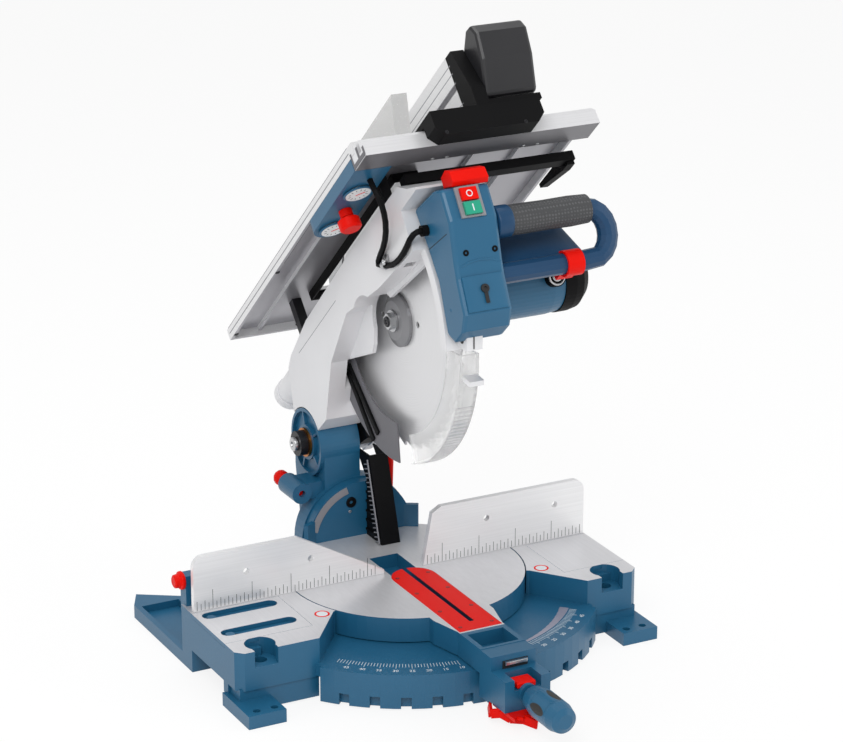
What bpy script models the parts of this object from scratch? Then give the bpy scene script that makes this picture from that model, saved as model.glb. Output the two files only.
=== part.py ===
"""Combination mitre saw: a chop saw with a second table over its guard. Metres, +Z up, operator at -Y.

The blade plane is x = 0, the fence face is y = 0 and the bench is z = 0. An empty at the top of the
tree moves all of it so that the origin is at the middle of the footprint.
The head is drawn level in its own frame, with the blade centre as origin and -Y forward, and its
pivot empty then holds it raised.
"""

from math import atan2, cos, pi, radians, sin, sqrt

import bmesh
import bpy
from mathutils import Matrix, Vector

# Fits and cutting
GAP = 0.0003
RUN_GAP = 0.001
OVERRUN = 0.003
BITE = 0.002

# Frame
ORIGIN_X = 0.0183
ORIGIN_Y = 0.03398

# Blade and head geometry
BLADE_RADIUS = 0.1525
BLADE_THICKNESS = 0.0024
BLADE_TEETH = 48
TOOTH_DEPTH = 0.006
BORE_RADIUS = 0.015
PIVOT_Y = 0.177
PIVOT_Z = 0.1855
HEAD_REACH = 0.2603
HEAD_RISE = 0.0329
RAISED_DEG = 43.0

# Lower table
TABLE_Z = 0.075
WING_UNDER = 0.028
WING_LEFT = 0.278
WING_RIGHT = 0.246
WING_FRONT = 0.130
WING_REAR = 0.028
WING_NOSE_X = 0.176
WING_NECK_X = 0.130
WING_NECK_Y = 0.0715
WING_STEP_X = 0.179
WING_STEP_Y = 0.0200
WING_CORNER = 0.009
WING_WALL = 0.006
WING_FLOOR = 0.010
DISC_RADIUS = 0.143
DISC_UNDER = 0.0455
DISC_CLEAR = 0.0015
SEAT_RADIUS = 0.117
SEAT_TOP = 0.0450
SEAT_WALL = 0.008
SEAT_BOSS = 0.030
FLANGE_RADIUS = 0.230
FLANGE_TOP = 0.0440
FLANGE_UNDER = 0.002
FLANGE_SKIN = 0.007
FLANGE_NOTCHES = 11
FLANGE_NOTCH_WIDTH = 0.012
FLANGE_NOTCH_HEIGHT = 0.014
FLANGE_HALF_DEG = 52.0
FOOT_THICK = 0.016
FOOT_WIDTH = 0.042
FOOT_FRONT = 0.1685
FOOT_HOLE = 0.0045
FOOT_HOLE_PITCH = 0.022
LEG_REAR = 0.205
LEG_WIDTH = 0.062
LEG_TOE = 0.030
LEG_WALL = 0.007
POCKET_RADIUS = 0.018
POCKET_FLOOR = 0.055
POCKET_MOUTH = 0.0145
POCKET_INSET = 0.036
POCKET_BORE = 0.008
POCKET_DEPTH = 0.034

# Table extensions
EXT_THICK = 0.005
EXT_FRONT = 0.095
EXT_BACK = 0.002
EXT_LEFT_INNER = 0.168
EXT_RIGHT_INNER = 0.164
EXT_SLOT_LENGTH = 0.094
EXT_SLOT_WIDTH = 0.0175
EXT_SLOT_NEAR = 0.069
EXT_SLOT_FAR = 0.016
EXT_BOLT_RADIUS = 0.0055
EXT_BOLT_HEIGHT = 0.003

# Fences
FENCE_THICK = 0.007
FENCE_LEFT_TOP = 0.143
FENCE_RIGHT_TOP = 0.147
FENCE_LEFT_END = 0.274
FENCE_RIGHT_END = 0.245
FENCE_LEFT_INNER = 0.028
FENCE_RIGHT_INNER = 0.0245
FENCE_CUT_TOP = 0.140
FENCE_SLANT = 0.012
FENCE_CORNER = 0.014
FENCE_HOLE = 0.004
FENCE_HOLE_RISE = 0.0047
FENCE_FOOT_DEPTH = 0.0195
FENCE_FOOT_THICK = 0.007
FENCE_RIB = 0.005
FENCE_TOP_RIM = 0.006

# Turntable arm, kerf plate and mitre lock
ARM_HALF_WIDE = 0.039
ARM_HALF = 0.029
ARM_TAPER_START = 0.148
ARM_TAPER_END = 0.188
ARM_FRONT = 0.300
ARM_BOX_BACK = 0.240
ARM_BOX_UNDER = 0.0172
ARM_BOX_TOP = 0.0745
NOSE_STEP = 0.266
NOSE_LOW_TOP = 0.058
PIT_HALF = 0.023
PIT_BACK = 0.200
PIT_FLOOR = 0.0575
ARM_WALL = 0.005
KERF_HALF = 0.0275
KERF_THICK = 0.0035
KERF_FRONT = 0.190
KERF_BACK = 0.003
KERF_SLOT_HALF = 0.0028
KERF_SLOT_FRONT = 0.168
KERF_SLOT_BACK = 0.007
TROUGH_HALF = 0.014
GUARD_ROOM_LEFT = 0.0235
GUARD_ROOM_BACK = 0.0485
TROUGH_Z = 0.058
MITRE_AXIS_Z = 0.040
MITRE_SHAFT = 0.007
MITRE_HANDLE_BACK = 0.308
MITRE_HANDLE_FRONT = 0.385
MITRE_HANDLE_RADIUS = 0.018
MITRE_HANDLE_WAIST = 0.0145
DETENT_Z = 0.020
DETENT_HALF = 0.026
DETENT_THICK = 0.004
DETENT_BACK = 0.262
DETENT_FRONT = 0.318
DETENT_FINGER = 0.006
DETENT_DROP = 0.010
WINDOW_HALF = 0.017
WINDOW_Z = 0.052
WINDOW_HEIGHT = 0.014
TAB_HALF = 0.012
TAB_LENGTH = 0.012

# Bevel joint and column
LUG_FRONT = 0.120
LUG_BACK = 0.134
LUG_RADIUS = 0.070
HUB_RADIUS = 0.072
HUB_BACK = 0.205
COLUMN_LEFT = 0.040
COLUMN_RIGHT = 0.0075
BARREL_LEFT = 0.045
BARREL_RIGHT = 0.0077
BARREL_RADIUS = 0.042
BARREL_RIM = 0.004
BARREL_RIBS = 5
RIB_THICK = 0.003
BUSH_RADIUS = 0.018
BUSH_LENGTH = 0.003
PIVOT_SHAFT = 0.0135
PIVOT_HEAD = 0.0155
PIVOT_HEAD_LENGTH = 0.010
PIVOT_BOLT = 0.007
PIVOT_BOLT_LENGTH = 0.003
LOCKPIN_X = 0.070
LOCKPIN_Z = 0.136
LOCKPIN_BOSS = 0.013
LOCKPIN_BACK = 0.178
LOCKPIN_SHAFT = 0.004
LOCKPIN_KNOB = 0.010
CLAMP_X = 0.063
CLAMP_Z = 0.098
CLAMP_RADIUS = 0.011
CLAMP_LENGTH = 0.055

# Dust ducts
DUCT_LEFT = 0.008
DUCT_RIGHT = 0.033
DUCT_WALL = 0.0025
DUCT_DEPTH = 0.036
DUCT_FOOT_Y = 0.077
DUCT_TOP_Y = 0.111
DUCT_TOP_Z = 0.180
DUCT_RUNGS = 8
RUNG_HEIGHT = 0.003
RUNG_DEPTH = 0.002

# Arm casting, in the head frame
ARM_LENGTH = 0.500
ARM_OUTER_X = 0.045
ARM_RIGHT_X = 0.030
CHAMBER_RADIUS = 0.161
CHAMBER_LEFT = 0.015
CHAMBER_RIGHT = 0.013
SKIRT_X = 0.020
SKIRT_RADIUS = 0.170
SKIRT_INNER = 0.157
ARBOR_NOTCH = 0.035
PIVOT_CLEAR = 0.0435
LUG_BOSS = 0.0195
NOZZLE_RADIUS = 0.020
NOZZLE_BORE = 0.0165
NOZZLE_X = 0.014
NOZZLE_HEIGHT = 0.058
NOZZLE_START = 0.205
NOZZLE_END = 0.330

# Spindle
ARBOR_RADIUS = 0.0148
FLANGE_OUTER = 0.032
FLANGE_THICK = 0.006
BOLT_RADIUS = 0.010
BOLT_LENGTH = 0.008

# Lower guard
GUARD_OUTER = 0.1685
GUARD_WALL = 0.003
GUARD_HALF = 0.012
GUARD_FLANGE_INNER = 0.134
GUARD_START_DEG = -40.0
GUARD_END_DEG = -114.0
GUARD_HUB = 0.046
GUARD_HUB_BORE = 0.034
GUARD_LUG = 0.018

# Front housing, switch and handle
HOUSING_HALF = 0.030
HOUSING_LENGTH = 0.100
SWITCH_WIDTH = 0.030
SWITCH_HEIGHT = 0.036
SWITCH_PROUD = 0.0025
BUTTON_WIDTH = 0.020
BUTTON_HEIGHT = 0.0145
BUTTON_PROUD = 0.004
GRIP_SLEEVE = 0.0175
GRIP_X0 = 0.040
GRIP_X1 = 0.150
HANDLE_TIP_X = 0.176
LOWER_BAR = 0.012
TRIGGER_LENGTH = 0.030
TRIGGER_WIDTH = 0.014
TOP_LEVER_LENGTH = 0.045

# Motor
MOTOR_S = 0.095
MOTOR_H = -0.015
MOTOR_RADIUS = 0.043
MOTOR_JOINT = 0.150
MOTOR_END = 0.186
GEAR_RADIUS = 0.046
BRUSH_RADIUS = 0.012
BRUSH_PROUD = 0.008

# Upper table
UPPER_TOP = 0.130
UPPER_THICK = 0.004
UPPER_SKIRT = 0.014
UPPER_LEFT = 0.098
UPPER_RIGHT = 0.199
UPPER_BACK = 0.261
UPPER_FRONT = 0.217
UPPER_SLOT_HALF = 0.013
UPPER_SLOT_BACK = 0.172
UPPER_SLOT_FRONT = 0.125
RAIL_HEIGHT = 0.023
RAIL_DROP = 0.007
TSLOT_WIDTH = 0.008
TSLOT_DEPTH = 0.014
TSLOT_BACK = 0.226

# Table height posts and knob
POST_SIZE = 0.012
HEIGHT_KNOB_RADIUS = 0.013
HEIGHT_KNOB_LENGTH = 0.025
DIAL_BOX_HEIGHT = 0.015
DIAL_BOX_WIDTH = 0.046
DIAL_BOX_FRONT = 0.203
DIAL_BOX_BACK = 0.038
DIAL_RADIUS = 0.015
DIAL_THICK = 0.003
DIAL_NEAR = 0.148
DIAL_FAR = 0.061
KNOB_S = 0.104

# Rip fence
RIP_X = 0.043
RIP_WIDTH = 0.044
RIP_TALL = 0.080
RIP_FRONT = 0.232
RIP_BACK = 0.225
RIP_WALL = 0.003
RIP_GROOVE_Z = 0.038
RIP_GROOVE = 0.008
SHOE_LEFT = -0.019
SHOE_RIGHT = 0.119
SHOE_DEPTH = 0.026
SHOE_TALL = 0.030
SHOE_CHAMFER = 0.010
HOOD_X0 = 0.060
HOOD_X1 = 0.126
HOOD_RISE = 0.012
HOOD_TALL = 0.085

# Table blade guard
KNIFE_THICK = 0.0022
CROWN_TOP = 0.200
CROWN_HALF = 0.010
CROWN_WALL = 0.0025
CROWN_BACK = 0.100
CROWN_FRONT_LOW = 0.155
CROWN_FRONT_HIGH = 0.180

# Cable
CABLE_RADIUS = 0.0035

# Wing shares
NECK_INSIDE_SHARE = 0.75
FLANGE_NOTCH_SPAN_SHARE = 0.86

# Fence block, knob and slot bolts
EXT_BOLT_X = 0.0185
BLOCK_IN = 0.003
BLOCK_WIDE = 0.014
BLOCK_DEEP = 0.008
BLOCK_TOP = 0.1125
FENCE_KNOB_Z = 0.1055
FENCE_KNOB = 0.011
FENCE_KNOB_LENGTH = 0.012
FENCE_SCREW = 0.004
EXT_SLOT_START = 0.0075

# Fence knob lobes and fence holes
KNOB_PROFILE_SHARES = (
    (0.00, -1.00),
    (0.55, -1.00),
    (0.72, -0.90),
    (0.78, -0.45),
    (0.95, -0.38),
    (1.00, -0.30),
    (1.00, -0.08),
    (0.92, 0.00),
    (0.00, 0.00),
)
FENCE_LEFT_HOLES = (-0.207, -0.124)
FENCE_RIGHT_HOLES = (0.110, 0.204)
FENCE_FOOT_INNER = 0.150

# Turntable arm shares
ARM_ROOT_SHARE = 0.9
REAR_WALL = 0.009
REAR_WALL_TOP = 0.104
REAR_WALL_HALF_DEG = 34.0

# Mitre lock shares and small sizes
BAND_WIDTH = 0.030
BAND_DEPTH = 0.0025
BAND_PLACE_SHARE = 0.55

# Bevel hub shares and small sizes
HUB_THICK = 0.022
HUB_FOOT_SHARE = 0.45
BARREL_SIDE_SHARE = 0.97
BARREL_WELL = 0.005
LOCKPIN_FRONT = 0.1365
LOCKPIN_SUNK = 0.006
LOCKPIN_STAND = 0.008

# Column small parts shares and small sizes
ARM_SHARES = (
    (-0.530, 0.024),
    (-0.480, 0.118),
    (-0.444, 0.134),
    (-0.300, 0.160),
    (0.000, 0.168),
    (0.370, 0.166),
    (0.408, 0.140),
    (0.446, 0.124),
    (0.450, 0.116),
    (0.349, 0.116),
    (0.340, 0.020),
    (0.120, 0.036),
    (-0.080, 0.070),
    (-0.244, 0.018),
    (-0.372, -0.074),
    (-0.524, -0.074),
)
CORE_SHARES = (
    (-0.340, 0.130),
    (0.000, 0.166),
    (0.349, 0.166),
    (0.340, 0.000),
    (0.330, -0.060),
    (0.200, -0.130),
    (0.060, -0.150),
    (-0.060, -0.130),
    (-0.240, -0.020),
    (-0.340, 0.020),
)
SKIRT_SHARES = (
    (-0.300, 0.140),
    (0.300, 0.140),
    (0.300, 0.010),
    (0.284, 0.008),
    (0.052, 0.034),
    (-0.026, 0.060),
    (-0.098, -0.012),
    (-0.120, -0.024),
    (-0.300, 0.040),
)
LUG_SHARES = (
    (-0.560, -0.100),
    (-0.500, -0.108),
    (-0.330, -0.050),
    (-0.240, 0.000),
    (-0.240, 0.120),
    (-0.320, 0.120),
    (-0.420, 0.060),
    (-0.550, -0.020),
)
BRIDGE_SHARES = ((-0.330, 0.020), (-0.245, 0.010), (-0.245, 0.118), (-0.318, 0.118))

# Arm casting shares and small sizes
ARM_MIDDLE_X = DUCT_LEFT + DUCT_WALL + RUN_GAP - GAP
CHAMBER_REAR = 0.171
POST_REAR_S = -0.192
POST_REAR_X = 0.030
POST_REAR_LOW = -0.030
POST_FRONT_S = 0.125
POST_FRONT_X = 0.031
POST_FRONT_LOW = 0.000

# Knife outline shares and small sizes
KNIFE_FOOT_DEG = 158.0
KNIFE_CLEAR = 0.003
KNIFE_SHARES = ((-1.165, 0.33), (-1.165, 0.49), (-0.98, 0.74), (-0.77, 1.17), (-0.55, 1.21), (-0.50, 1.08))
KNIFE_PIN_SHARES = (-0.62, 1.12)

# Head frame parts shares and small sizes
NOZZLE_LIP = 0.012
NOZZLE_STEP = 0.0015
UPPER_DUCT_LOW = (-0.226, -0.058)
UPPER_DUCT_HIGH = (-0.211, 0.056)
UPPER_DUCT_HALF = 0.0145
INNER_GUARD_RADIUS = 0.122
KNIFE_PIN = 0.003
FRAME_HALF = 0.0235
FRAME_WALL = 0.005
FRAME_FRONT = 0.178
FRAME_BACK = 0.182
FRAME_TOP = 0.0955
FRAME_REACH = 0.184
FRAME_HOOK = 0.070

# Spindle shares and small sizes
BLADE_HOLE_RING = 0.045
BLADE_HOLE = 0.004
FLANGE_STACK = 0.0085
FLANGE_RIM = 0.004
BOLT_WASHER = 0.0025

# Lower guard shares and small sizes
GUARD_LUG_THICK = 0.006
GUARD_LUG_BACK_DEG = 10.0
GUARD_SPOKE_DEG = 16.0

# Housing outline shares and small sizes
HOUSING_SHARES = (
    (1.755, 0.560),
    (2.320, 0.500),
    (2.500, 0.420),
    (2.450, 0.050),
    (2.230, -0.380),
    (2.170, -0.520),
    (2.050, -0.920),
    (1.880, -1.040),
    (1.600, -1.040),
    (1.500, -0.890),
    (1.718, -0.340),
    (1.750, 0.100),
)

# Front housing shares and small sizes
HOUSING_ROUND = 0.004
BUTTON_DEEP = 0.010
BUTTON_STROKE = 0.003
TOP_LEVER_X = 0.0075
TOP_LEVER_SHARES = (
    (2.30, 0.515),
    (2.35, 0.50),
    (2.50, 0.43),
    (2.56, 0.47),
    (2.55, 0.60),
    (2.46, 0.66),
    (2.32, 0.64),
)
GLAND_S = 0.190
GLAND_H = 0.023
GLAND_LENGTH = 0.008
GLAND_BORE = 0.005

# Grip points shares and small sizes
GRIP_S = 0.226
GRIP_H = 0.004
HANDLE_DROP_S = 0.024
HANDLE_DROP_H = 0.052
TRIGGER_REACH = 0.030

# Gear outline shares and small sizes
TRIGGER_SKIN = 0.003
GEAR_END = 0.055
BRUSH_X = 0.134
BRUSH_TILT_DEG = 25.0
BRUSH_SUNK = 0.004

# Upper table shares and small sizes
TABLE_RIB_DEPTH = 0.009
TABLE_RIB_FRONT = 0.160
TABLE_RIBS = (-0.060, 0.075, 0.135)
RAIL_BACK = 0.205
RAIL_FRONT = 0.241
RAIL_LIP = 0.006

# Table parts shares and small sizes
POST_REAR_START = 0.003
POST_FRONT_START = 0.040
SHROUD_WALL = 0.002
SHROUD_LOW = 0.1150

# Rip fence shares and small sizes
BRACKET_DEPTH = 0.032
BRACKET_BASE = 0.008
HOOD_SHARES = (
    (-0.100, -0.090),
    (0.100, -0.090),
    (0.330, 0.350),
    (0.420, 0.700),
    (0.340, 0.860),
    (0.150, 0.870),
    (-0.160, 0.640),
)

# Crown guard shares and small sizes
CROWN_LOW = 0.1545
CROWN_ROUND = 0.010
CABLE_LOWER = (
    (-0.0492, -0.10213, 0.02693),
    (-0.0492, -0.1108, 0.0222),
    (-0.0492, -0.1210, 0.0182),
    (-0.0492, -0.1320, 0.0158),
    (-0.0492, -0.1440, 0.0150),
    (-0.0492, -0.1560, 0.0155),
    (-0.0492, -0.1680, 0.0172),
    (-0.0486, -0.1780, 0.0198),
    (-0.0462, -0.1860, 0.0220),
    (-0.0420, -0.1898, 0.0230),
    (-0.0375, -0.1900, 0.0230),
    (-0.0335, -0.1900, 0.0230),
)
CABLE_UPPER = (
    (-0.0700, -0.1770, 0.1000),
    (-0.0700, -0.1780, 0.0930),
    (-0.0695, -0.1792, 0.0850),
    (-0.0680, -0.1788, 0.0770),
    (-0.0655, -0.1750, 0.0690),
    (-0.0625, -0.1680, 0.0615),
    (-0.0592, -0.1580, 0.0550),
    (-0.0560, -0.1450, 0.0490),
    (-0.0530, -0.1300, 0.0450),
    (-0.0508, -0.1150, 0.0425),
    (-0.0496, -0.1010, 0.0408),
    (-0.0492, -0.0910, 0.0382),
    (-0.0492, -0.0880, 0.0345),
    (-0.0492, -0.0932, 0.0318),
    (-0.0492, -0.10187, 0.02707),
)

# Cable shares and small sizes
CLIP_WALL = 0.0012
CLIP_WIDTH = 0.008
CLIP_FOOT = 0.012

COLLECTION = "mitre_saw"
CUTTERS = "cutters"

BLUE = (0.028, 0.115, 0.205)
WHITE_SILVER = (0.72, 0.73, 0.74)
ALUMINIUM = (0.62, 0.63, 0.64)
STEEL = (0.55, 0.56, 0.58)
RED = (0.72, 0.035, 0.015)
BLACK = (0.012, 0.012, 0.013)
DARK = (0.045, 0.047, 0.05)
CLEAR = (0.78, 0.80, 0.80)
BRONZE = (0.45, 0.24, 0.09)
GREEN = (0.02, 0.42, 0.16)
DIAL_WHITE = (0.85, 0.86, 0.86)


def clear_scene():
    """Removes the startup objects."""
    for obj in list(bpy.data.objects):
        bpy.data.objects.remove(obj, do_unlink=True)


def collection(name, hidden):
    """A collection under the scene's own."""
    group = bpy.data.collections.new(name)
    bpy.context.scene.collection.children.link(group)
    group.hide_render = hidden
    return group


clear_scene()
parts = collection(COLLECTION, False)
cutters = collection(CUTTERS, True)


def material(name, colour, roughness, metallic):
    """A Principled material."""
    made = bpy.data.materials.new(name)
    made.use_nodes = True
    shader = made.node_tree.nodes["Principled BSDF"]
    shader.inputs["Base Color"].default_value = (*colour, 1)
    shader.inputs["Roughness"].default_value = roughness
    shader.inputs["Metallic"].default_value = metallic
    return made


def empty(name, parent, place):
    """An empty that carries a moving body."""
    made = bpy.data.objects.new(name, None)
    made.location = place
    made.parent = parent
    parts.objects.link(made)
    return made


TURNS = {
    "X": Matrix(((0, 0, 1, 0), (1, 0, 0, 0), (0, 1, 0, 0), (0, 0, 0, 1))),
    "Y": Matrix(((1, 0, 0, 0), (0, 0, -1, 0), (0, 1, 0, 0), (0, 0, 0, 1))),
    "Z": Matrix.Identity(4),
}
ROUND_TURNS = {
    "X": Matrix.Rotation(pi / 2, 4, "Y"),
    "Y": Matrix.Rotation(-pi / 2, 4, "X"),
    "Z": Matrix.Identity(4),
}


def welded(source, name, parent):
    """A mesh object made from a curve object, with its loose caps joined to its sides."""
    graph = bpy.context.evaluated_depsgraph_get()
    mesh = bpy.data.meshes.new_from_object(source.evaluated_get(graph))
    frame = source.matrix_world.copy()
    bpy.data.objects.remove(source, do_unlink=True)
    bm = bmesh.new()
    bm.from_mesh(mesh)
    bmesh.ops.remove_doubles(bm, verts=bm.verts, dist=GAP / 30)
    bmesh.ops.recalc_face_normals(bm, faces=bm.faces)
    bm.transform(frame)
    bm.to_mesh(mesh)
    bm.free()
    mesh.name = name
    made = bpy.data.objects.new(name, mesh)
    made.parent = parent
    cutters.objects.link(made)
    return made


def slab(name, parent, axis, outline, low, high, holes=()):
    """A flat outline with holes, between two planes square to axis.

    The outline is in (Y, Z), (X, Z) or (X, Y) for axis X, Y or Z."""
    curve = bpy.data.curves.new(name, "CURVE")
    curve.dimensions = "2D"
    curve.fill_mode = "BOTH"
    for loop in (outline, *holes):
        spline = curve.splines.new("POLY")
        spline.points.add(len(loop) - 1)
        for point, (u, v) in zip(spline.points, loop):
            point.co = (u, v, 0, 1)
        spline.use_cyclic_u = True
    curve.extrude = (high - low) / 2
    source = bpy.data.objects.new(name, curve)
    parts.objects.link(source)
    middle = (low + high) / 2
    along = {"X": (middle, 0, 0), "Y": (0, middle, 0), "Z": (0, 0, middle)}[axis]
    source.matrix_world = Matrix.Translation(along) @ TURNS[axis]
    bpy.context.view_layer.update()
    return welded(source, name, parent)


def box(name, parent, low, high):
    """A box between two corners."""
    bm = bmesh.new()
    bmesh.ops.create_cube(bm, size=1)
    size = Vector(high) - Vector(low)
    middle = (Vector(high) + Vector(low)) / 2
    bm.transform(Matrix.Translation(middle) @ Matrix.Diagonal((*size, 1)))
    return from_bmesh(bm, name, parent)


def from_bmesh(bm, name, parent):
    """An object holding the bmesh."""
    mesh = bpy.data.meshes.new(name)
    bm.to_mesh(mesh)
    bm.free()
    made = bpy.data.objects.new(name, mesh)
    made.parent = parent
    cutters.objects.link(made)
    return made


def rod(name, parent, axis, centre, radius, low, high, sides=32, radius_high=None):
    """A cylinder or cone along axis, from low to high, through centre."""
    bm = bmesh.new()
    top = radius if radius_high is None else radius_high
    bmesh.ops.create_cone(
        bm, cap_ends=True, segments=sides, radius1=radius, radius2=top, depth=high - low
    )
    place = Vector(centre)
    place["XYZ".index(axis)] = (low + high) / 2
    bm.transform(Matrix.Translation(place) @ ROUND_TURNS[axis])
    return from_bmesh(bm, name, parent)


def ball(name, parent, centre, radius, sides=14):
    """A sphere."""
    bm = bmesh.new()
    bmesh.ops.create_uvsphere(bm, u_segments=sides, v_segments=sides // 2, radius=radius)
    bm.transform(Matrix.Translation(centre))
    return from_bmesh(bm, name, parent)


def turned(name, parent, axis, centre, profile, sides=40):
    """A closed profile of (radius, height) turned about axis by a Screw modifier."""
    mesh = bpy.data.meshes.new(name)
    points = [(r, 0, t) for r, t in profile]
    edges = [(i, i + 1) for i in range(len(points) - 1)]
    closed = min(r for r, t in profile) > 0
    if closed:
        edges.append((len(points) - 1, 0))
    mesh.from_pydata(points, edges, [])
    made = bpy.data.objects.new(name, mesh)
    made.parent = parent
    made.location = centre
    made.rotation_euler = ROUND_TURNS[axis].to_euler()
    cutters.objects.link(made)
    screw = made.modifiers.new("turn", "SCREW")
    screw.steps = sides
    screw.render_steps = sides
    screw.use_merge_vertices = True
    screw.merge_threshold = GAP / 10
    return made


def tube(name, parent, points, radius, resolution=3):
    """A round wire through the points, with filled caps."""
    curve = bpy.data.curves.new(name, "CURVE")
    curve.dimensions = "3D"
    curve.bevel_depth = radius
    curve.bevel_resolution = resolution
    curve.use_fill_caps = True
    spline = curve.splines.new("POLY")
    spline.points.add(len(points) - 1)
    for point, place in zip(spline.points, points):
        point.co = (*place, 1)
    source = bpy.data.objects.new(name, curve)
    parts.objects.link(source)
    bpy.context.view_layer.update()
    return welded(source, name, parent)


def boolean(target, other, operation):
    """A live Boolean modifier."""
    modifier = target.modifiers.new(operation.lower(), "BOOLEAN")
    modifier.operation = operation
    modifier.solver = "EXACT"
    modifier.object = other
    other.display_type = "WIRE"
    other.hide_render = True


def cut(target, *others):
    """Takes the others away."""
    for other in others:
        boolean(target, other, "DIFFERENCE")


def join(target, *others):
    """Adds the others."""
    for other in others:
        boolean(target, other, "UNION")


def keep(obj, look, bevel=0.0, segments=1):
    """Moves a finished object from the cutters to the parts."""
    cutters.objects.unlink(obj)
    parts.objects.link(obj)
    obj.data.materials.clear()
    obj.data.materials.append(look)
    if bevel:
        rounding = obj.modifiers.new("rounding", "BEVEL")
        rounding.width = bevel
        rounding.segments = segments
        rounding.limit_method = "ANGLE"
        rounding.angle_limit = radians(50)
        rounding.harden_normals = False
    return obj


def arc(centre, radius, start_deg, end_deg, steps):
    """Points on an arc, both ends included."""
    return [
        (
            centre[0] + radius * cos(radians(start_deg + (end_deg - start_deg) * i / steps)),
            centre[1] + radius * sin(radians(start_deg + (end_deg - start_deg) * i / steps)),
        )
        for i in range(steps + 1)
    ]


def circle(centre, radius, sides=24):
    """A closed ring of points."""
    return arc(centre, radius, 0, 360 * (sides - 1) / sides, sides - 1)


def sector(outer, inner, start_deg, end_deg, steps):
    """A ring sector about the origin."""
    return arc((0, 0), outer, start_deg, end_deg, steps) + arc((0, 0), inner, end_deg, start_deg, steps)


def rectangle(u0, v0, u1, v1):
    """A rectangle's corners."""
    return [(u0, v0), (u1, v0), (u1, v1), (u0, v1)]


def shares_of(table, size):
    """An outline from shares of one size."""
    return [(u * size, v * size) for u, v in table]


def side(outline):
    """Head outlines are drawn forward and up; -Y is forward."""
    return [(-s, h) for s, h in outline]


blue_paint = material("blue_paint", BLUE, 0.4, 0.0)
silver_paint = material("silver_paint", WHITE_SILVER, 0.35, 0.1)
aluminium = material("aluminium", ALUMINIUM, 0.32, 1.0)
steel = material("steel", STEEL, 0.3, 1.0)
red_plastic = material("red_plastic", RED, 0.4, 0.0)
black_plastic = material("black_plastic", BLACK, 0.5, 0.0)
dark_rubber = material("dark_rubber", DARK, 0.8, 0.0)
clear_plastic = material("clear_plastic", CLEAR, 0.15, 0.0)
bronze = material("bronze", BRONZE, 0.35, 1.0)
green_plastic = material("green_plastic", GREEN, 0.4, 0.0)
dial_plastic = material("dial_plastic", DIAL_WHITE, 0.4, 0.0)

root = empty("saw_root", None, (ORIGIN_X, ORIGIN_Y, 0))
turn_axis = empty("turn_axis", root, (0, 0, 0))
bevel_axis = empty("bevel_axis", turn_axis, (0, 0, TABLE_Z))
column_frame = empty("column_frame", bevel_axis, (0, 0, -TABLE_Z))
chop_axis = empty("chop_axis", column_frame, (0, PIVOT_Y, PIVOT_Z))
chop_axis.rotation_euler = (radians(-RAISED_DEG), 0, 0)
blade_axis = empty("blade_axis", chop_axis, (0, -HEAD_REACH, HEAD_RISE))


def wing_outline(sign, end):
    """A wing from its end to inside the turntable's circle.

    The turning arm passes its slanted neck, and the tilted hub its rear step."""
    inner = WING_NECK_X * NECK_INSIDE_SHARE
    points = [
        (end, WING_REAR),
        (end, -WING_FRONT + WING_CORNER),
        (end - WING_CORNER, -WING_FRONT),
        (WING_NOSE_X, -WING_FRONT),
        (WING_NECK_X, -WING_NECK_Y),
        (inner, -WING_NECK_Y * NECK_INSIDE_SHARE),
        (inner, WING_STEP_Y),
        (WING_STEP_X, WING_STEP_Y),
        (WING_STEP_X + WING_WALL, WING_REAR),
    ]
    return [(sign * x, y) for x, y in points]


def foot(sign, end):
    """A front foot with two screw holes."""
    x0 = sign * (end - FOOT_WIDTH)
    x1 = sign * (end + FOOT_HOLE)
    plate = slab(
        "foot",
        root,
        "Z",
        rectangle(x0, -FOOT_FRONT, x1, -WING_FRONT + POCKET_DEPTH),
        0,
        FOOT_THICK,
        [
            circle(
                (
                    sign * (end - FOOT_WIDTH / 2 + step * FOOT_HOLE_PITCH / 2),
                    -FOOT_FRONT + FOOT_HOLE_PITCH / 2,
                ),
                FOOT_HOLE,
                16,
            )
            for step in (-1, 1)
        ],
    )
    post = box(
        "foot_post",
        root,
        (min(x0, sign * end), -WING_FRONT + POCKET_DEPTH - WING_WALL, FOOT_THICK - BITE),
        (max(x0, sign * end), -WING_FRONT + POCKET_DEPTH + WING_WALL, TABLE_Z - WING_FLOOR),
    )
    join(plate, post)
    return plate


def leg(sign, end):
    """A low rear leg, a triangle on the bench with one open pocket."""
    outer = [
        (end, 0),
        (end, LEG_REAR - LEG_TOE),
        (end - LEG_TOE / 2, LEG_REAR),
        (end - LEG_WIDTH, LEG_REAR - LEG_TOE),
        (end - LEG_WIDTH, 0),
    ]
    inner = [
        (end - LEG_WALL, LEG_WALL + WING_REAR),
        (end - LEG_WALL, LEG_REAR - LEG_TOE - LEG_WALL),
        (end - LEG_WIDTH + LEG_WALL, LEG_REAR - LEG_TOE - LEG_WALL),
        (end - LEG_WIDTH + LEG_WALL, LEG_WALL + WING_REAR),
    ]
    made = slab("leg", root, "Z", [(sign * x, y) for x, y in outer], 0, FOOT_THICK)
    pocket = slab("leg_pocket", root, "Z", [(sign * x, y) for x, y in inner], LEG_WALL, FOOT_THICK + OVERRUN)
    post = box(
        "leg_post",
        root,
        (min(sign * end, sign * (end - LEG_WIDTH)), 0, FOOT_THICK - BITE),
        (max(sign * end, sign * (end - LEG_WIDTH)), WING_REAR, WING_UNDER + BITE),
    )
    cut(made, pocket)
    join(made, post)
    return made


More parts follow.
